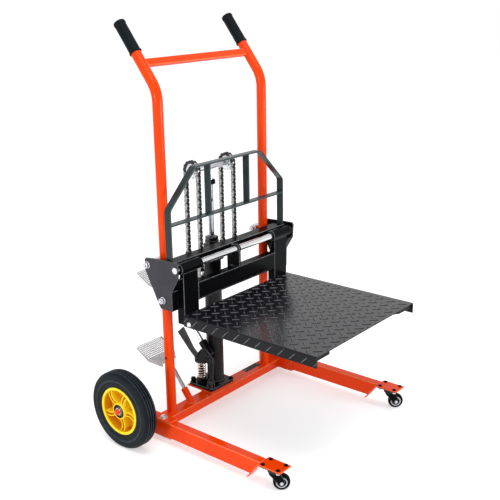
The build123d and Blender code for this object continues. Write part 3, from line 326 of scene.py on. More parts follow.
# Grips: black rubber sleeves pushed over the open tube ends.
# Each has a thick lip at its mouth, shallow flats along its length and a domed end.
# Small plugs of the same rubber close a hole in each tube.
grip_rubber = finish(
    "grip_rubber_black", (0.045, 0.075, 0.085), (0.06, 0.09, 0.1), (0.13, 0.17, 0.18), (0.42, 0.58), 900,
    0.35, shine=0.07)
grip_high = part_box("handle_grips")[1]
grip_length = 0.11
grip_lean = math.radians(37.5)
grip_radius = 0.0182
grip_run = Vector((0, math.sin(grip_lean), math.cos(grip_lean)))
grip_end_y = grip_high.y - grip_radius * math.cos(grip_lean)
grip_end_z = grip_high.z - grip_radius * math.sin(grip_lean)
grip_line = [
    (0.0161, 0.001), (0.0168, 0), (0.0188, 0.0006), (0.0194, 0.002), (0.0193, 0.0045), (0.0181, 0.0062),
    (0.0177, 0.009), (0.0175, 0.03), (0.0175, 0.0935), (0.0177, 0.097), (0.0185, 0.0995), (0.0187, 0.102),
    (0.0185, 0.105), (0.0174, 0.1078), (0.0146, 0.1094), (0.0118, 0.1096), (0.0112, 0.1092), (0.006, 0.1098),
    (0, 0.11), (0, 0.1061), (0.0161, 0.1059)]
flats = 16
flat_depth = 0.013
flats_from = 0.0085
flats_to = 0.0945
grips = bmesh.new()
for x in (-upright_x, upright_x):
    sleeve = turned(grip_line, 96, ring=True)
    for dot in sleeve.verts:
        reach = math.hypot(dot.co.x, dot.co.y)
        if flats_from < dot.co.z < flats_to and reach > 0.017:
            flat = 1 - flat_depth * (0.5 + 0.5 * math.cos(flats * math.atan2(dot.co.y, dot.co.x)))
            dot.co.x *= flat
            dot.co.y *= flat
    mouth = Vector((x, grip_end_y, grip_end_z)) - grip_run * grip_length
    add(grips, sleeve, along(mouth, mouth + grip_run))
piece(grips, "rubber_grips", grip_rubber, "frame", "grip_rubber", "handle_grips", crease=50)


def outward(spot, x):
    """Lays a shape sideways from a spot, to the right for 1 and to the left for -1."""
    return along(spot, Vector(spot) + Vector((x, 0, 0)))


def pair(shape, x, y, z):
    """Puts a shape on both sides of the truck, each pointing outward, and makes them one."""
    both = shape.copy()
    both.transform(outward((-x, y, z), -1))
    add(both, shape, outward((x, y, z), 1))
    return both


plug_height = 0.251
plug_x = upright_x + tube_radius - 0.0007
plug = turned([(0, -0.002), (0.003, -0.002), (0.003, 0), (0.0043, 0.0002), (0.0045, 0.0008),
               (0.0038, 0.0015), (0.0018, 0.0018), (0, 0.0018)], 28)
piece(pair(plug, plug_x, upright_y, plug_height), "upright_hole_plugs", grip_rubber, "frame", "grip_rubber")

# Base: a box beam with open channel sockets at its ends, and two box legs bolted into them.
# All of it is welded steel in the same orange coat; zinc bolts clamp the legs.
for node, name, radius, steps in (
        ("cross_beam", "base_beam", 0.0022, 3), ("leg_sockets", "leg_socket_channels", 0.0012, 2),
        ("leg_left", "left_base_leg", 0.0022, 3), ("leg_right", "right_base_leg", 0.0022, 3),
        ("caster_brackets", "caster_bracket_plates", 0.0011, 2)):
    dress(node, name, frame_paint, "frame_paint", radius, steps)


def bead_line(start, end, bead):
    """A straight weld bead with rippled scales, in the corner between two plates."""
    run = Vector(end) - Vector(start)
    scale_length = 0.0028
    scales = max(4, int(run.length / scale_length))
    strip = bmesh.new()
    bmesh.ops.create_cone(strip, cap_ends=True, segments=8, radius1=bead, radius2=bead, depth=run.length)
    sides = [e for e in strip.edges if abs(e.verts[0].co.z - e.verts[1].co.z) > run.length / 2]
    bmesh.ops.subdivide_edges(strip, edges=sides, cuts=2 * scales)
    for dot in strip.verts:
        swell = 1 + 0.12 * math.sin(math.pi * scales * 2 * dot.co.z / run.length)
        dot.co.x *= swell
        dot.co.y *= swell
    strip.transform(moved((0, 0, run.length / 2)))
    strip.transform(along(start, end))
    return strip


socket_low, socket_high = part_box("leg_sockets")
beam_end = 0.296
beam_front = upright_y - 0.025
beam_back = upright_y + 0.025
beam_top = 0.057
bead_foot = 0.0275
bead_head = 0.0565
bead_radius = 0.0022
beads = bmesh.new()
for x in (-beam_end, beam_end):
    for y in (beam_front, beam_back):
        add(beads, bead_line((x, y, bead_foot), (x, y, bead_head), bead_radius))
    add(beads, bead_line((x, beam_front, beam_top), (x, beam_back, beam_top), bead_radius))
piece(beads, "beam_end_welds", frame_paint, "frame", "frame_paint")

zinc = finish(
    "bright_zinc", (0.88, 0.885, 0.9), (0.78, 0.785, 0.8), (0.92, 0.92, 0.93), (0.24, 0.38), 500, 0.05, 60,
    1.0)
bolt_black = finish(
    "blackened_bolt_steel", (0.022, 0.024, 0.026), (0.035, 0.038, 0.04), (0.2, 0.21, 0.22), (0.3, 0.45), 700,
    0.1, shine=0.04)


def hex_bolt(across, height, washer):
    """A chamfered hexagon head on a round washer, standing on its seat at the origin."""
    head = bmesh.new()
    corner = across / math.sqrt(3)
    bmesh.ops.create_cone(head, cap_ends=True, segments=6, radius1=corner, radius2=corner, depth=height)
    head.transform(moved((0, 0, height / 2 + 0.0012)))
    rounded(head, [e for e in head.edges if all(v.co.z > height for v in e.verts)], 0.0011, 2)
    add(head, turned([(0, 0), (washer, 0), (washer, 0.0009), (washer - 0.0004, 0.0013), (0, 0.0013)], 32))
    dimple = across * 0.2
    add(head, turned([(0, height + 0.0008), (dimple, height + 0.0008), (dimple, height + 0.0014),
                      (dimple * 0.8, height + 0.0017), (0, height + 0.0017)], 24))
    return head


leg_bolt_x = 0.315
leg_bolt_y = 0.114075
shank_low = 0.023
shank_length = 0.058
leg_bolts = bmesh.new()
for x in (-leg_bolt_x, leg_bolt_x):
    above = moved((x, leg_bolt_y, socket_high.z))
    below = moved((x, leg_bolt_y, socket_low.z)) @ Matrix.Rotation(math.pi, 4, "X")
    add(leg_bolts, hex_bolt(0.017, 0.0058, 0.0125), above)
    add(leg_bolts, turned([(0, 0), (0.005, 0), (0.005, shank_length), (0, shank_length)], 24),
        moved((x, leg_bolt_y, shank_low)))
    add(leg_bolts, hex_bolt(0.017, 0.0068, 0.0125), below)
piece(leg_bolts, "leg_clamp_bolts", zinc, "frame", "zinc", "frame_bolts")

# Label plate: a blank dark plate of thin metal, riveted to the top of the beam by the jack.
# It carries no words; two blind rivets hold it.
plate_metal = finish(
    "dark_blank_plate", (0.1, 0.105, 0.11), (0.15, 0.155, 0.16), (0.5, 0.51, 0.52), (0.3, 0.42), 900, 0.06,
    shine=0.1)
plate_x = 0.177
plate_y = upright_y + 0.01
plate_z = 0.0574
plate_length = 0.078
plate_width = 0.024
plate_sheet = 0.0008
rivet_seat = 0.0577
rivet_x = plate_length / 2 - 0.005
blank = bmesh.new()
bmesh.ops.create_cube(blank, size=1)
bmesh.ops.scale(blank, vec=(plate_length, plate_width, plate_sheet), verts=blank.verts)
soften(blank, 0.0003)
blank.transform(moved((plate_x, plate_y, plate_z)))
piece(blank, "blank_plate", plate_metal, "frame", "black_paint", even=True)
rivets = bmesh.new()
for x in (plate_x - rivet_x, plate_x + rivet_x):
    add(rivets, turned([(0.0021, 0), (0.0021, 0.0004), (0.0015, 0.001), (0.0006, 0.0012), (0, 0.0009)], 20),
        moved((x, plate_y, rivet_seat)))
piece(rivets, "blank_plate_rivets", zinc, "frame", "zinc")

# Wheels: moulded yellow plastic hubs with five curved, cored-out spokes and a ball race at each side.
# A solid black rubber tyre with three grooves round its tread is moulded on to the rim.
hub_yellow = finish(
    "hub_yellow_plastic", (1.0, 0.9, 0.14), (0.985, 0.85, 0.1), (1.0, 0.94, 0.3), (0.3, 0.44), 420, 0.08, 18,
    shine=0.25)
# A deeper, duller yellow for the web, the rim's inner wall and the spoke hollows: painted shade in the hub's
# pockets.
hub_painted_shade = finish(
    "hub_yellow_painted_shade", (0.91, 0.64, 0.05), (0.85, 0.56, 0.035), (1.0, 0.85, 0.2), (0.42, 0.56), 420, 0.12,
    18, shine=0.12)
tyre_black = finish(
    "tyre_rubber_black", (0.036, 0.062, 0.085), (0.05, 0.08, 0.107), (0.34, 0.41, 0.44), (0.42, 0.56), 700,
    0.3, 14, shine=0.12)
seal_black = finish(
    "race_seal_rubber", (0.05, 0.055, 0.06), (0.07, 0.075, 0.08), (0.2, 0.2, 0.2), (0.35, 0.5), 900, 0.1,
    shine=0.15)


def middle_of(node):
    """The middle of a CAD node's box."""
    return [(low + high) / 2 for low, high in zip(*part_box(node))]


tyre_low, tyre_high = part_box("tyre_right")
wheel_y, wheel_z = middle_of("tyre_right")[1:]
wheel_radius = (tyre_high.z - tyre_low.z) / 2
tyre_width = tyre_high.x - tyre_low.x
rim_radius = 0.077
spoke_count = 5
spoke_start = math.radians(55)
spoke_bend = Vector((0.04766, 0.02299, 0))
spoke_from = Vector((0.022, 0, 0))
spoke_sweep = math.radians(93.1)
spoke_width = 0.014
spoke_foot = 0.016
spoke_face = 0.043
web_low = 0.014
web_high = 0.018
on_axle = Matrix(((0, 0, 1, 0), (1, 0, 0, 0), (0, 1, 0, 0), (0, 0, 0, 1)))


def wheel_place(mirror):
    """Stands a wheel built about Z on its axle; the left wheel is the right one in a mirror."""
    stood = moved((tyre_low.x, wheel_y, wheel_z)) @ on_axle
    return Matrix.Diagonal((-1, 1, 1, 1)) @ stood if mirror else stood


def tyre_shape():
    """Solid tyre: stepped side walls, round shoulders and three grooves round the tread."""
    shoulder = 0.1125
    half = [(rim_radius, 0.003), (0.0785, 0.0022), (0.0815, 0.0018), (0.0955, 0.0018), (0.0968, 0.0003),
            (0.0992, 0), (0.1012, 0.0016), (0.107, 0.0012), (shoulder, 0.0014)]
    for step in range(1, 7):
        turn = math.radians(15 * step)
        half.append((shoulder + 0.0125 * math.sin(turn), 0.0135 - 0.0123 * math.cos(turn)))
    floor_radius = wheel_radius - 0.0034
    groove = 0.0166
    middle = tyre_width / 2
    half += [(wheel_radius, groove - 0.0021), (floor_radius, groove - 0.0015),
             (floor_radius, groove + 0.0015), (wheel_radius, groove + 0.0021),
             (wheel_radius, middle - 0.0021), (floor_radius, middle - 0.0015)]
    tyre = turned(half + [(r, tyre_width - z) for r, z in reversed(half)], 128, ring=True)
    # The sidewall ridge and the tread ribs take the lighter edge colour: partly scuffing, partly painted
    # highlight.
    scuffed_and_highlighted = tyre.faces.layers.float.new("edge")
    for face in tyre.faces:
        reach = face.calc_center_median().xy.length
        if 0.0955 < reach < 0.1012:
            face[scuffed_and_highlighted] = 0.4
        elif reach > wheel_radius - 0.0004:
            face[scuffed_and_highlighted] = 0.25
    return tyre


def hub_shape():
    """Hub: rim, boss and web turned as rings, and hollow spokes swept on an arc in front of the web."""
    deep = tyre_width - 0.0005
    hub = turned([(rim_radius, 0.0015), (rim_radius, deep - 0.0025), (0.0762, deep - 0.001), (0.0745, deep),
                  (0.07, deep), (0.0686, deep - 0.001), (0.068, deep - 0.004), (0.0668, 0.026),
                  (0.0693, 0.004), (0.0705, 0.0012), (0.0725, 0.0005), (0.0755, 0.0005)], 96, ring=True)
    # The rim's inner wall takes the darker yellow: painted shade.
    for face in hub.faces:
        middle = face.calc_center_median()
        inside = middle.xy.length < rim_radius - 0.003
        face.material_index = int(inside and web_low < middle.z < deep - 0.0042)
    boss = [(0.0222, 0.0455), (0.0222, 0.0492), (0.0228, 0.0497), (0.0248, 0.0497), (0.0258, 0.0488),
            (0.0268, 0.04), (0.0272, 0.026), (0.0268, 0.011), (0.0258, 0.0016), (0.0248, 0.0007),
            (0.0228, 0.0007), (0.0222, 0.0012), (0.0222, 0.0049), (0.0105, 0.0049), (0.0105, 0.0455)]
    add(hub, turned(boss, 64, ring=True))
    # The web takes the darker yellow too: painted shade.
    web = [(0.0262, web_low), (0.0685, web_low), (0.0685, web_high), (0.0262, web_high)]
    add(hub, turned(web, 96, ring=True), look=1)
    reach = spoke_from - spoke_bend
    away = reach.normalized()
    half = spoke_width / 2
    core = half - 0.0036
    section = [(-half, spoke_face), (-core - 0.0004, spoke_face), (-core, spoke_face - 0.011),
               (core, spoke_face - 0.011), (core + 0.0004, spoke_face), (half, spoke_face),
               (half, spoke_foot), (-half, spoke_foot)]
    for count in range(spoke_count):
        spoke = bmesh.new()
        dots = []
        for across, high in section:
            spot = spoke_bend + away * (reach.length + across)
            dots.append(spoke.verts.new((spot.x, spot.y, high)))
        line = [spoke.edges.new((dots[i - 1], dots[i])) for i in range(len(dots))]
        bmesh.ops.spin(spoke, geom=dots + line, cent=spoke_bend, axis=(0, 0, 1), angle=spoke_sweep, steps=14)
        bmesh.ops.holes_fill(spoke, edges=spoke.edges, sides=20)
        bmesh.ops.recalc_face_normals(spoke, faces=spoke.faces)
        rounded(spoke, [e for e in spoke.edges if e.calc_face_angle(0) > 0.9], 0.0007, 2)
        # Faces down in each spoke's hollow take the darker yellow: painted shade.
        for face in spoke.faces:
            face.material_index = int(0.003 < spoke_face - face.calc_center_median().z < 0.0125)
        add(hub, spoke, Matrix.Rotation(spoke_start + math.tau * count / spoke_count, 4, "Z"))
    return hub


def race_shape(first, last, low, high):
    """One ring of a ball race, slightly rounded at its edges."""
    edge = 0.0004
    line = [(first, low + edge), (first + edge, low), (last - edge, low), (last, low + edge),
            (last, high - edge), (last - edge, high), (first + edge, high), (first, high - edge)]
    return turned(line, 56, ring=True)


for side, mirror in (("left", True), ("right", False)):
    metal = race_shape(0.0102, 0.0138, 0.0012, 0.0488)
    rubber = race_shape(0.0138, 0.0192, 0.0022, 0.0478)
    add(rubber, race_shape(0.0192, 0.0221, 0.0012, 0.0488))
    made = ((tyre_shape(), "tyre", tyre_black, "tyre_rubber", ("tyre_" + side,)),
            (hub_shape(), "hub", hub_yellow, "hub_plastic", ("wheel_hub_" + side,)),
            (metal, "race_rings", zinc, "zinc", ()), (rubber, "race_seals", seal_black, "tyre_rubber", ()))
    for shape, name, look, slot, nodes in made:
        shape.transform(wheel_place(mirror))
        if mirror:
            bmesh.ops.reverse_faces(shape, faces=shape.faces)
        done = piece(shape, side + "_wheel_" + name, look, "wheel_" + side, slot, *nodes, crease=45)
        if name == "hub":
            done.data.materials.append(hub_painted_shade)

# Stub axles: plates welded to the legs' outer sides, with the axle running out through the hub.
# The painted end of the axle shows in the middle of the wheel, behind it a bright retaining washer.
cap_from = 0.4313


def cut(shape, spot, outside, clear=True):
    """Cuts a shape along a plane; clear takes off what stands outside it."""
    everything = shape.verts[:] + shape.edges[:] + shape.faces[:]
    bmesh.ops.bisect_plane(
        shape, geom=everything, dist=1e-6, plane_co=spot, plane_no=outside, clear_outer=clear)


def close(shape):
    """Closes the open edges of a shape with faces."""
    bmesh.ops.holes_fill(shape, edges=[e for e in shape.edges if e.is_boundary], sides=0)


axles = copy_of("stub_axles")
for x in (-1, 1):
    cut(axles, (x * cap_from, 0, 0), (x, 0, 0))
close(axles)
soften(axles, 0.001)
cap = turned([(0, 0), (0.0096, 0), (0.0096, 0.0055), (0.009, 0.0068), (0.0072, 0.0077), (0.004, 0.0079),
              (0, 0.008)], 40)
washer = turned([(0.0095, 0), (0.0112, 0), (0.0116, 0.0004), (0.0116, 0.0016), (0.0111, 0.002),
                 (0.0095, 0.002)], 48, ring=True)
add(axles, pair(cap, cap_from, wheel_y, wheel_z))
piece(axles, "wheel_stub_axles", frame_paint, "frame", "frame_paint", "stub_axles", even=True)
piece(pair(washer, cap_from, wheel_y, wheel_z), "axle_end_washers", zinc, "frame", "zinc")

# Casters: bought-in swivel units with a pressed black fork and a moulded black wheel with pale rings.
# Four low domed black bolts hold each top plate under its bracket.
caster_black = finish(
    "caster_black_plastic", (0.02, 0.022, 0.025), (0.03, 0.033, 0.036), (0.2, 0.21, 0.22), (0.34, 0.5), 600,
    0.15, shine=0.05)
caster_grey = finish(
    "caster_ring_grey", (0.78, 0.79, 0.8), (0.72, 0.73, 0.74), (0.85, 0.85, 0.85), (0.4, 0.55), 500, 0.08)
# The pale grey edge colour draws painted highlight lines along the rounded edges, besides paint wear.
black_paint = finish(
    "gloss_black_coat", (0.026, 0.028, 0.034), (0.038, 0.04, 0.048), (0.55, 0.56, 0.58), (0.2, 0.3), 600,
    0.12, shine=0.05)
dress("caster_mounts", "caster_top_plates", black_paint, "black_paint")
bracket_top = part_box("caster_brackets")[1].z
caster_x = 0.315
caster_y = middle_of("caster_mounts")[1]
caster_turn = math.radians(40)
caster_trail = 0.02
caster_radius = 0.025
caster_half = 0.0095
yoke_out = 0.0133
yoke_shoulder = 0.034
plate_bolt_x = 0.0185
plate_bolt_y = 0.027
nut_drop = Vector((0, 0, 0.007))
dome_line = [
    (0, -0.007), (0.003, -0.007), (0.003, 0), (0.0062, 0), (0.0064, 0.0005), (0.0061, 0.0016),
    (0.0048, 0.0032), (0.003, 0.004), (0.0022, 0.0042), (0.002, 0.003), (0, 0.003)]
caster_bolts = bmesh.new()
caster_nuts = bmesh.new()
for x in (-caster_x, caster_x):
    for dx in (-plate_bolt_x, plate_bolt_x):
        for dy in (-plate_bolt_y, plate_bolt_y):
            spot = Vector((x + dx, caster_y + dy, bracket_top))
            add(caster_bolts, turned(dome_line, 28), moved(spot))
            under = spot - nut_drop
            add(caster_nuts, hex_bolt(0.01, 0.004, 0.0065), along(under, under - Vector((0, 0, 1))))
piece(caster_bolts, "caster_plate_bolts", bolt_black, "frame", "black_paint")
piece(caster_nuts, "caster_plate_nuts", zinc, "frame", "zinc")
wheel_line = [(radius, caster_half - inset) for radius, inset in (
    (0.0042, 0.0004), (0.007, 0.0002), (0.0076, 0.0022), (0.0112, 0.0022), (0.0122, 0.001), (0.0172, 0.001),
    (0.0178, 0.0002), (0.021, 0.0004), (0.0232, 0.0018), (0.0245, 0.0042), (caster_radius, 0.0065))]
ring_line = [(radius, caster_half - inset) for radius, inset in (
    (0.0132, 0.0012), (0.0135, 0.0003), (0.0164, 0.0003), (0.0167, 0.0012))]
for side, x in (("left", -caster_x), ("right", caster_x)):
    place = moved((x, caster_y, 0)) @ Matrix.Rotation(caster_turn, 4, "Z")
    axle = Vector((0, -caster_trail, caster_radius))
    body = "caster_fork_" + side
    fork = copy_of(body)
    fork.transform(place.inverted())
    for out in (-1, 1):
        cut(fork, (out * yoke_out, 0, 0), (out, 0, 0), clear=False)
    heads = [v for v in fork.verts if abs(v.co.x) > yoke_out + 0.0001 and v.co.z < yoke_shoulder]
    bmesh.ops.delete(fork, geom=heads, context="VERTS")
    close(fork)
    bmesh.ops.dissolve_limit(fork, angle_limit=math.radians(1), verts=fork.verts, edges=fork.edges)
    corners = [e for e in fork.edges
               if abs(e.verts[0].co.x - e.verts[1].co.x) > 0.002 and e.calc_face_angle(0) > 0.6
               and all(v.co.z < yoke_shoulder + 0.002 for v in e.verts)]
    rounded(fork, corners, 0.005, 5)
    soften(fork, 0.0009)
    fork.transform(place)
    piece(fork, side + "_caster_yoke", black_paint, body, "black_paint", body, even=True)
    pins = bmesh.new()
    rings = bmesh.new()
    for out in (-1, 1):
        seat = axle + Vector((out * yoke_out, 0, 0))
        add(pins, hex_bolt(0.0092, 0.0028, 0.0052), place @ outward(seat, out))
        add(rings, turned([(radius, out * z) for radius, z in ring_line], 56, ring=True))
    piece(pins, side + "_caster_axle_bolt", zinc, body, "zinc")
    wheel = turned(wheel_line + [(radius, -z) for radius, z in reversed(wheel_line)], 72, ring=True)
    body = "caster_wheel_" + side
    for shape, name, look, nodes in (
            (wheel, "wheel", caster_black, (body,)), (rings, "wheel_rings", caster_grey, ())):
        shape.transform(place @ outward(axle, 1))
        piece(shape, side + "_caster_" + name, look, body, "caster_plastic", *nodes, crease=45)

# Jack: a black hydraulic cylinder standing in a cast base that is bolted to a plate across the beam.
# The polished ram runs out of a gland nut; a bar behind the cylinder holds the ends of the chains.
# The pale edge colour draws painted highlight lines along the casting's rounded edges, besides wear.
cast_black = finish(
    "black_painted_casting", (0.03, 0.032, 0.037), (0.045, 0.048, 0.054), (0.46, 0.47, 0.49), (0.22, 0.34),
    260, 0.3, 30, shine=0.12)
chrome = finish(
    "polished_chrome", (0.88, 0.885, 0.89), (0.82, 0.825, 0.83), (0.92, 0.92, 0.92), (0.05, 0.11), 300, 0.02,
    20, 1.0, (1, 1, 6))
dress("jack_mount", "jack_mount_plate", frame_paint, "frame_paint", 0.001)
dress("jack_base", "jack_cast_base", cast_black, "cast_black", 0.0016, 3)
barrel_black = finish(
    "barrel_black_coat", (0.075, 0.07, 0.078), (0.095, 0.088, 0.098), (0.4, 0.4, 0.41), (0.24, 0.34), 600,
    0.1, shine=0.17)
dress("jack_cylinder", "jack_barrel", barrel_black, "black_paint", 0.0012, 3)
gland_low, gland_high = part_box("gland_nut")
gland_out = (gland_high.x - gland_low.x) / 2
gland = turned([(radius, gland_high.z - drop) for radius, drop in (
    (0.0094, 0.034), (gland_out, 0.027), (gland_out, 0.015), (gland_out - 0.001, 0.0138),
    (gland_out - 0.0042, 0.0136), (gland_out - 0.0044, 0.0112), (gland_out - 0.0022, 0.0108),
    (gland_out - 0.0016, 0.01), (gland_out - 0.0016, 0.003), (gland_out - 0.0034, 0.001),
    (gland_out - 0.007, 0), (0.0112, 0), (0.0104, 0.0008), (0.0094, 0.0012))], 72, ring=True)
gland.transform(moved((*middle_of("gland_nut")[:2], 0)))
gland_black = finish(
    "gland_gloss_black", (0.05, 0.052, 0.056), (0.07, 0.072, 0.076), (0.4, 0.4, 0.42), (0.1, 0.18), 300,
    0.05, shine=0.7)
piece(gland, "jack_gland", gland_black, "frame", "cast_black", "gland_nut", crease=30)
dress("chain_anchor", "chain_anchor_bar", black_paint, "black_paint", 0.0012)
# A darker copy of the chrome for the ram rod: painted dark reflections.
ram_chrome_painted_dark = finish(
    "ram_chrome_painted_dark_reflection", (0.62, 0.63, 0.65), (0.54, 0.55, 0.57), (0.8, 0.8, 0.8), (0.06, 0.12), 300, 0.02,
    20, 1.0, (1, 1, 6))
dress("ram_rod", "ram_polished_rod", ram_chrome_painted_dark, "chrome", 0.0006)


def trim(shape, spot, outside):
    """Cuts off what stands beyond a plane and closes the cut."""
    cut(shape, spot, outside)
    close(shape)


nut_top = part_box("ram_crosshead")[0].z + 0.014
for name, look, up, slot, nodes in (("ram_cross_head", zinc, -1, "zinc", ("ram_crosshead",)),
                                    ("ram_lock_nut", bolt_black, 1, "cast_black", ())):
    head = copy_of("ram_crosshead")
    trim(head, (0, 0, nut_top), (0, 0, up))
    soften(head, 0.0009)
    piece(head, name, look, "ram", slot, *nodes, even=True)
base_low, base_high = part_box("jack_base")
base_top = 0.07
jack_bolts = bmesh.new()
for x, y in ((0.044, base_low.y + 0.008), (0.044, base_high.y - 0.008), (-0.018, base_high.y - 0.008),
             (-0.03, base_low.y + 0.009)):
    add(jack_bolts, hex_bolt(0.013, 0.0048, 0.0085), moved((x, y, base_top)))
piece(jack_bolts, "jack_base_bolts", bolt_black, "frame", "cast_black")

# Pump: a small plunger pump beside the cylinder, pushed by a foot lever on a rocking link.
# A bright wire spring round its neck lifts the lever again; a knob at the corner lets the load down.
spring_wire = finish(
    "bright_spring_wire", (0.92, 0.86, 0.82), (0.85, 0.78, 0.74), (0.95, 0.9, 0.86), (0.22, 0.34), 900, 0.05,
    60, 1.0)
for row in (("pump_barrel", "pump_cast_barrel", cast_black, "cast_black", 0.001),
            ("pump_plunger", "pump_plunger_rod", bolt_black, "zinc", 0.0006),
            ("fulcrum_link", "lever_rocking_link", cast_black, "cast_black"),
            ("pump_lever", "pump_lever_socket", cast_black, "cast_black", 0.0012),
            ("release_valve", "release_knob", bolt_black, "zinc", 0.0012, 3)):
    dress(*row)
spring_low, spring_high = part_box("pump_spring")
wire = 0.002
coil_radius = (spring_high.x - spring_low.x) / 2 - wire
coil_x, coil_y = middle_of("pump_spring")[:2]
side_arm = copy_of("lever_side_arm")
arm_bend = Vector((0, coil_y + 0.018, 0.196))
arm_run = Vector((0, 0.661, 0.75))
arm_side = Vector((0, -0.75, 0.661))
widening = 0.02
upper_swell = 0.9
lower_swell = 0.4
for dot in side_arm.verts:
    reach = dot.co - arm_bend
    across = reach.dot(arm_side)
    swell = upper_swell if across > 0 else lower_swell
    swell *= min(1.0, max(0.0, reach.dot(arm_run) / widening))
    dot.co += arm_side * across * swell
soften(side_arm, 0.0014, 3)
lever_black = finish(
    "lever_satin_black", (0.2, 0.19, 0.2), (0.25, 0.24, 0.25), (0.45, 0.45, 0.46), (0.4, 0.55), 420, 0.25,
    30, shine=0.15)
piece(side_arm, "lever_cranked_arm", lever_black, "pump_lever", "cast_black", "lever_side_arm", even=True)
closed_turns = 1
open_turns = 5
per_turn = 28
closed_climb = 2 * wire * 1.04
open_climb = (spring_high.z - spring_low.z - 2 * wire - 2 * closed_turns * closed_climb) / open_turns
spring = bmesh.new()
bmesh.ops.create_circle(spring, segments=10, radius=wire)
spring.transform(moved((coil_radius, 0, wire)) @ Matrix.Rotation(math.pi / 2, 4, "X"))
strip = spring.verts[:] + spring.edges[:]
for turns, climb in ((closed_turns, closed_climb), (open_turns, open_climb), (closed_turns, closed_climb)):
    done = bmesh.ops.spin(spring, geom=strip, cent=(0, 0, 0), axis=(0, 0, 1), dvec=(0, 0, climb / per_turn),
                          angle=math.tau * turns, steps=per_turn * turns)
    strip = done["geom_last"]
bmesh.ops.remove_doubles(spring, verts=spring.verts, dist=1e-7)
close(spring)
bmesh.ops.recalc_face_normals(spring, faces=spring.faces)
spring.transform(moved((coil_x, coil_y, spring_low.z)))
coil = piece(spring, "pump_return_spring", spring_wire, None, "spring_steel", "pump_spring")
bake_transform(coil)

# Pedals: zinc-plated rods that fit the lever socket and the beam's fixed socket.
# Each carries a perforated tread of galvanised sheet, turned up at the back and folded down at its sides.
galvanised = finish(
    "galvanised_sheet", (0.72, 0.715, 0.72), (0.64, 0.64, 0.65), (0.8, 0.8, 0.8), (0.36, 0.5), 350, 0.12, 45,
    0.4)
rod_radius = 0.007
tread_width = 0.12
tread_front = 0.04
tread_flat = 0.025
tread_run = 0.056
tread_rise = 0.027
tread_lip = 0.012
tread_cut = 0.055
tread_rows = 17
tread_sheet_metal = 0.0022


def dots_of(made, part="geom"):
    """The points among what an operator has made."""
    return [dot for dot in made[part] if isinstance(dot, bmesh.types.BMVert)]


def pedal_rod(x, start_y, start_z, top_y, top_z, inside):
    """Round bar from inside its socket up to the underside of the tread, cut level there."""
    start = Vector((x, start_y, start_z))
    top = Vector((x, top_y, top_z))
    run = (top - start).normalized()
    length = (top - start).length + 0.012
    bar = turned([(0, 0), (rod_radius - 0.001, 0), (rod_radius, 0.001), (rod_radius, length),
                  (0, length)], 40)
    bar.transform(along(start + run * inside, top))
    trim(bar, top, (0, 0, 1))
    return bar


def tread_sheet(x, top_y, top_z):
    """Sheet with rows of round holes and a plain margin, bent up, folded at the sides, one corner cut."""
    sheet = bmesh.new()
    length = tread_front + tread_flat + tread_run
    half = (tread_width - 0.003) / 2
    kink = tread_front + tread_flat - length / 2
    bmesh.ops.create_grid(sheet, x_segments=tread_rows, y_segments=tread_rows, size=0.5)
    bmesh.ops.scale(sheet, vec=(2 * half, length, 1), verts=sheet.verts)
    corner = Vector((tread_width / 2, kink, 0))
    slope = Vector((tread_front + tread_flat, -tread_cut, 0)).normalized()
    cut(sheet, corner, slope)
    margin = 0.003
    cut_margin = 0.006
    inner = []
    for face in sheet.faces:
        middle = face.calc_center_median()
        in_rows = abs(middle.x) < half - margin and abs(middle.y) < length / 2 - margin
        if in_rows and (middle - corner).dot(slope) < -cut_margin:
            inner.append(face)
    bmesh.ops.inset_individual(sheet, faces=inner, thickness=0.001)
    corners = list({v for f in inner for v in f.verts})
    bmesh.ops.bevel(
        sheet, geom=corners, offset=0.0011, segments=2, profile=0.5, affect="VERTICES", material=-1)
    holes = [f for f in sheet.faces if len(f.verts) > 8 and f.calc_area() < 3e-5]
    bmesh.ops.delete(sheet, geom=holes, context="FACES_ONLY")
    sides = [e for e in sheet.edges
             if e.is_boundary and all(abs(abs(v.co.x) - half) < 1e-5 for v in e.verts)]
    lip = dots_of(bmesh.ops.extrude_edge_only(sheet, edges=sides))
    bmesh.ops.translate(sheet, verts=lip, vec=(0, 0, -tread_lip))
    for dot in sheet.verts:
        beyond = max(0.0, dot.co.y - kink)
        if dot.co.z < -0.001:
            dot.co.z += beyond / tread_run * tread_lip * 0.4
        dot.co.z += beyond * tread_rise / tread_run
        dot.co.y += length / 2 - tread_front
    bmesh.ops.recalc_face_normals(sheet, faces=sheet.faces)
    bmesh.ops.solidify(sheet, geom=sheet.faces[:], thickness=tread_sheet_metal)
    sheet.transform(moved((x, top_y, top_z + tread_sheet_metal + 0.0001)))
    return sheet


for name, node, body, x, foot_at, top_at, inside in (
        ("pump_pedal", "pump_pedal", "pump_lever", -0.047, (0.154075, 0.187), (0.348875, 0.411), 0.006),
        ("fixed_step", "foot_step", "frame", -0.15, (0.152075, 0.057), (0.2592, 0.194), 0.012)):
    piece(pedal_rod(x, *foot_at, *top_at, inside), name + "_rod", zinc, body, "zinc", node)
    piece(tread_sheet(x, *top_at), name + "_tread", galvanised, body, "zinc", crease=30)

# Sprockets: toothed steel wheels that turn on the cross head's shaft.
# They carry the two lifting chains over the top of the ram.
sprocket_steel = finish(
    "sprocket_cut_steel", (0.9, 0.905, 0.92), (0.8, 0.81, 0.82), (0.95, 0.95, 0.96), (0.2, 0.34), 500, 0.06,
    60, 1.0)
for side in ("left", "right"):
    dress("sprocket_" + side, side + "_chain_sprocket", sprocket_steel, "chain_steel", 0.0004)

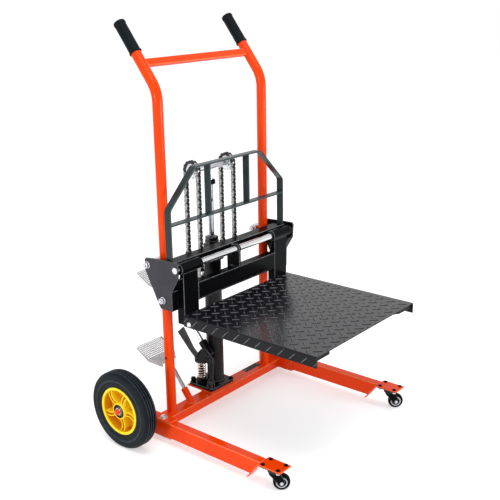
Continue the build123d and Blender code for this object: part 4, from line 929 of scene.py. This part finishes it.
# Chains: steel roller chain, one over each sprocket, from the bar behind the jack to the carriage.
# Inner and outer plates take turns along the rollers; forged end pieces pin them down.
chain_bright = finish(
    "bright_chain_plate", (0.68, 0.68, 0.67), (0.56, 0.56, 0.55), (0.75, 0.75, 0.75), (0.2, 0.32), 500, 0.08,
    90, 1.0)
chain_oiled = finish(
    "oiled_chain_steel", (0.26, 0.26, 0.265), (0.17, 0.17, 0.175), (0.3, 0.3, 0.3), (0.35, 0.5), 500, 0.08,
    90, 0.6)
pitch = 0.0127
teeth = 13
chain_x = 0.083
link_sheet = 0.0014
axis_y, axis_z = middle_of("sprocket_right")[1:]
pitch_radius = pitch / 2 / math.sin(math.pi / teeth)
front_y = axis_y - pitch_radius
rear_y = axis_y + pitch_radius


def link_plate(offset):
    """Waisted side plate of one link, standing along Z, at a distance from the chain's middle."""
    plate = bmesh.new()
    bmesh.ops.create_circle(plate, cap_ends=True, segments=12, radius=0.0058)
    plate.transform(Matrix.Rotation(math.radians(15), 4, "Z"))
    for dot in plate.verts:
        dot.co.y += math.copysign(pitch / 2, dot.co.y)
    long_sides = [e for e in plate.edges if abs(e.verts[0].co.y - e.verts[1].co.y) > pitch * 0.9]
    waist = bmesh.ops.subdivide_edges(plate, edges=long_sides, cuts=1)
    for dot in dots_of(waist, "geom_inner"):
        dot.co.x *= 0.76
    far_side = dots_of(bmesh.ops.extrude_face_region(plate, geom=plate.faces[:]))
    bmesh.ops.translate(plate, verts=far_side, vec=(0, 0, link_sheet))
    bmesh.ops.recalc_face_normals(plate, faces=plate.faces)
    plate.transform(on_axle @ moved((0, 0, offset - link_sheet / 2)))
    return plate


def chain_run(spots, first_outer):
    """Links and rollers through roller centres in one plane; rollers and inner plates are oiled."""
    run = bmesh.new()
    for count, spot in enumerate(spots):
        across = outward(spot, 1)
        add(run, turned([(0, -0.0038), (0.00425, -0.0038), (0.00425, 0.0038), (0, 0.0038)], 12), across, 1)
        add(run, turned([(0, -0.0079), (0.0019, -0.0079), (0.0023, -0.0075), (0.0023, 0.0075),
                         (0.0019, 0.0079), (0, 0.0079)], 8), across)
        if count + 1 == len(spots):
            break
        towards = spots[count + 1] - spot
        lean = Matrix.Rotation(math.atan2(-towards.y, towards.z), 4, "X")
        middle = moved((spot + spots[count + 1]) / 2)
        outer = (count % 2 == 0) == first_outer
        for offset in ((-0.0064, 0.0064) if outer else (-0.0047, 0.0047)):
            add(run, link_plate(offset), middle @ lean, int(not outer))
    return run


front_top = axis_z - pitch / 2
wrap_rollers = 7
front_rollers = 26
rear_rollers = 23
stiff_links = 2
for side, x in (("left", -chain_x), ("right", chain_x)):
    arc = []
    for count in range(wrap_rollers):
        turn = math.tau * count / teeth
        ahead = pitch_radius * math.cos(turn)
        arc.append(Vector((x, axis_y + ahead, axis_z + pitch_radius * math.sin(turn))))
    front = [Vector((x, front_y, front_top - pitch * count)) for count in range(front_rollers)]
    rear = [Vector((x, rear_y, axis_z - pitch * count)) for count in range(rear_rollers)]
    wrap = rear[stiff_links:0:-1] + arc + front[:stiff_links + 1]
    runs = {}
    for spots, first_outer, name, node, body in (
            (wrap, True, "wrap", "chain_wraps", "ram"),
            (front[stiff_links:], False, "front_strand", "chain_front", None),
            (rear[stiff_links:], False, "rear_strand", "chain_rear", None)):
        nodes = (node,) if side == "left" else ()
        links = chain_run(spots, first_outer)
        for face in links.faces:
            if face.calc_center_median().z > front_top:
                face.material_index = 1
        runs[name] = piece(links, side + "_chain_" + name, chain_bright, body, "chain_steel", *nodes)
        runs[name].data.materials.append(chain_oiled)
    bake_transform(runs["front_strand"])
    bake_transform(runs["rear_strand"])


def chain_end(x, y, seat, height):
    """Forged fork that pins the last roller of a chain: two cheeks on a round foot, with a cross pin."""
    fork = turned([(0, 0), (0.0082, 0), (0.0086, 0.0005), (0.0086, 0.004), (0.007, 0.0055), (0, 0.0055)], 28)
    for offset in (-0.0092, 0.0092):
        cheek = bmesh.new()
        bmesh.ops.create_cube(cheek, size=1)
        bmesh.ops.scale(cheek, vec=(0.0026, 0.0115, height), verts=cheek.verts)
        soften(cheek, 0.0009)
        add(fork, cheek, moved((offset, 0, height / 2 + 0.0012)))
    pin = turned([(0, -0.0118), (0.0028, -0.0118), (0.0032, -0.0112), (0.0032, 0.0112), (0.0028, 0.0118),
                  (0, 0.0118)], 20)
    add(fork, pin, outward((0, 0, height - 0.005), 1))
    fork.transform(moved((x, y, seat)))
    return fork


front_ends = bmesh.new()
rear_ends = bmesh.new()
for x in (-chain_x, chain_x):
    add(front_ends, chain_end(x, front_y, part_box("chain_front")[0].z, 0.028))
    add(rear_ends, chain_end(x, rear_y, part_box("chain_rear")[0].z, 0.024))
piece(front_ends, "chain_front_ends", chain_bright, "carriage", "chain_steel")
piece(rear_ends, "chain_rear_ends", cast_black, "frame", "chain_steel")

# Carriage: black steel side plates joined by two box bars and a bright fork shaft, with a bent strip guard.
# Steel rollers inside the plates bear on the tubes; zinc hexagon bolts are their axles.
# A lighter grey for the side plates' outward faces only: painted highlight.
side_plate_painted_highlight = finish(
    "side_plate_black_painted_highlight", (0.22, 0.215, 0.23), (0.26, 0.255, 0.27), (0.4, 0.4, 0.42), (0.3, 0.42), 600,
    0.12, shine=0.12)
for side, out in (("left", -1), ("right", 1)):
    node = "side_plate_" + side
    cheek = copy_of(node)
    soften(cheek, 0.0011)
    # Faces turned outward take the lighter grey, the rest the black coat: painted highlight on the outer
    # faces.
    for face in cheek.faces:
        face.material_index = int(face.normal.x * out < 0.7)
    made = piece(cheek, side + "_carriage_plate", side_plate_painted_highlight, "carriage", "black_paint", node, even=True)
    made.data.materials.append(black_paint)
    for row in ("top", "low"):
        dress("roller_" + row + "_" + side, side + "_" + row + "_guide_roller", zinc, "zinc", 0.001)
guard_black = finish(
    "guard_black_coat", (0.13, 0.18, 0.185), (0.15, 0.2, 0.205), (0.34, 0.4, 0.41), (0.22, 0.32), 600, 0.12,
    shine=0.22)
for row in (("carriage_top_bar", "carriage_upper_bar", black_paint, "black_paint", 0.002, 3),
            ("carriage_low_bar", "carriage_lower_bar", black_paint, "black_paint", 0.0014),
            ("fork_shaft", "fork_bright_shaft", chrome, "chrome", 0.0012, 3),
            ("centre_lug", "shaft_centre_lug", black_paint, "black_paint", 0.0016, 3),
            ("load_guard", "bent_load_guard", guard_black, "black_paint", 0.0011)):
    dress(*row)
cheek_low, cheek_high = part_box("side_plate_right")
roller_bolts = copy_of("roller_bolts")
soften(roller_bolts, 0.0007)
for row in ("top", "low"):
    bolt = hex_bolt(0.017, 0.0088, 0.0112)
    add(bolt, turned([(0, 0), (0.0049, 0), (0.0049, 0.0148), (0.004, 0.0158), (0, 0.0158)], 24))
    add(roller_bolts, pair(bolt, cheek_high.x, *middle_of("roller_" + row + "_right")[1:]))
piece(roller_bolts, "roller_axle_bolts", zinc, "carriage", "zinc", "roller_bolts", even=True)
sleeve_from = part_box("fork_right")[1].x + 0.001
sleeve_length = cheek_low.x - 0.0002 - sleeve_from
sleeve = turned([(0.0101, 0), (0.0132, 0), (0.0138, 0.0006), (0.0138, sleeve_length - 0.0006),
                 (0.0132, sleeve_length), (0.0101, sleeve_length)], 48, ring=True)
sleeves = pair(sleeve, sleeve_from, *middle_of("fork_shaft")[1:])
piece(sleeves, "shaft_end_sleeves", black_paint, "carriage", "black_paint")

# Forks and platform: two welded fork arms hook over the shaft and carry a folded chequer-plate deck.
# The lugs of the chequer plate are rolled up from the sheet, crossing at right angles.
deck_black = finish(
    "chequer_plate_coat", (0.07, 0.07, 0.092), (0.09, 0.09, 0.112), (0.32, 0.34, 0.35), (0.16, 0.24), 500,
    0.12, shine=0.45)
# Its pale edge colour lights the lug crests: partly worn paint, partly painted highlight.
lug_black = finish(
    "chequer_lug_coat", (0.07, 0.07, 0.088), (0.09, 0.09, 0.108), (0.66, 0.66, 0.69), (0.12, 0.18), 500,
    0.12, shine=0.45)
flange_black = finish(
    "chequer_flange_coat", (0.06, 0.064, 0.07), (0.08, 0.084, 0.09), (0.32, 0.34, 0.35), (0.2, 0.3), 500,
    0.12, shine=0.16)
for side in ("left", "right"):
    dress("fork_" + side, side + "_lifting_fork", black_paint, "black_paint", 0.0015, 3)
dress("fork_cross_plate", "fork_cross_member", black_paint, "black_paint", 0.0016, 3)
deck_low, deck_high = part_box("platform")
deck = copy_of("platform")
deck_sheet = 0.003
for x in (-1, 1):
    cut(deck, (x * (deck_high.x - deck_sheet), 0, 0), (1, 0, 0), clear=False)
folds = [e for e in deck.edges if abs(e.verts[0].co.x - e.verts[1].co.x) < 1e-5
         and all(abs(abs(v.co.x) - deck_high.x) < 1e-5 for v in e.verts)
         and all(abs(v.co.z - deck_high.z) < 1e-5 for v in e.verts)]
rounded(deck, folds, 0.0045, 5)
soften(deck, 0.0005)
for face in deck.faces:
    face.material_index = int(face.normal.z <= 0.7)
plate = piece(deck, "folded_deck", deck_black, "fork_frame", "deck_paint", "platform", even=True)
plate.data.materials.append(flange_black)


def lug(turn, width, crest_wear_and_highlight, length=0.03):
    """One raised lug: a pointed oval with sloping sides, its crest more or less lighter, by wear and by
    painted highlight.
    """
    height = 0.0017
    oval = bmesh.new()
    rubbed_and_highlighted = oval.faces.layers.float.new("edge")
    rim = bmesh.ops.create_circle(oval, cap_ends=True, segments=10, radius=0.5)
    bmesh.ops.scale(oval, vec=(length, width, 1), verts=rim["verts"])
    crest = dots_of(bmesh.ops.extrude_face_region(oval, geom=oval.faces[:]))
    bmesh.ops.scale(oval, vec=(0.82, 0.5, 1), verts=crest)
    bmesh.ops.translate(oval, verts=crest, vec=(0, 0, height))
    for face in oval.faces:
        face[rubbed_and_highlighted] = crest_wear_and_highlight * (face.calc_center_median().z > height * 0.9)
    oval.transform(Matrix.Rotation(turn, 4, "Z"))
    return oval


lug_pitch = 0.041
lug_slant = math.pi / 4
lug_overhang = 0.006
fold = 0.005
margin = 0.0006
flange_z = deck_high.z - (deck_high.z - deck_low.z) * 0.55
lugs = bmesh.new()
lugs.faces.layers.float.new("edge")
flange_lugs = bmesh.new()
flange_lugs.faces.layers.float.new("edge")
columns = int(deck_high.x / lug_pitch) + 1
rows = int((deck_high.y - deck_low.y) / lug_pitch) + 1
for row in range(rows + 1):
    for column in range(-columns, columns + 1):
        for turn, shift in ((lug_slant, 0), (-lug_slant, 0.5)):
            x = (column + shift) * lug_pitch
            y = deck_low.y + (row + shift) * lug_pitch
            if abs(x) < deck_high.x + lug_overhang and y < deck_high.y + lug_overhang:
                add(lugs, lug(turn, 0.0062, 0.2), moved((x, y, deck_high.z)))
for x in (-1, 1):
    trim(lugs, (x * (deck_high.x - fold), 0, 0), (x, 0, 0))
    upright = Matrix(((0, 0, x, x * deck_high.x), (1, 0, 0, 0), (0, x, 0, 0), (0, 0, 0, 1)))
    for row in range(rows + 1):
        middle = moved((0, deck_low.y + row * lug_pitch, flange_z))
        add(flange_lugs, lug(lug_slant, 0.0042, 0.7, 0.038), middle @ upright)
for shape in (lugs, flange_lugs):
    trim(shape, (0, deck_low.y + margin, 0), (0, -1, 0))
    trim(shape, (0, deck_high.y - margin, 0), (0, 1, 0))
trim(flange_lugs, (0, 0, deck_high.z - fold), (0, 0, 1))
trim(flange_lugs, (0, 0, deck_low.z + margin), (0, 0, -1))
piece(lugs, "deck_lugs", lug_black, "fork_frame", "deck_paint", crease=25)
piece(flange_lugs, "deck_flange_lugs", lug_black, "fork_frame", "deck_paint", crease=25)
deck_bolt = turned([(0, -0.006), (0.004, -0.006), (0.004, 0.004), (0.0082, 0.004), (0.0084, 0.0046),
                    (0.008, 0.0062), (0.0062, 0.0074), (0.004, 0.0079), (0.0034, 0.0068), (0, 0.0068)], 36)
deck_bolts = pair(deck_bolt, deck_high.x - 0.004, *middle_of("platform_bolts")[1:])
piece(deck_bolts, "deck_round_bolts", zinc, "fork_frame", "zinc", "platform_bolts")
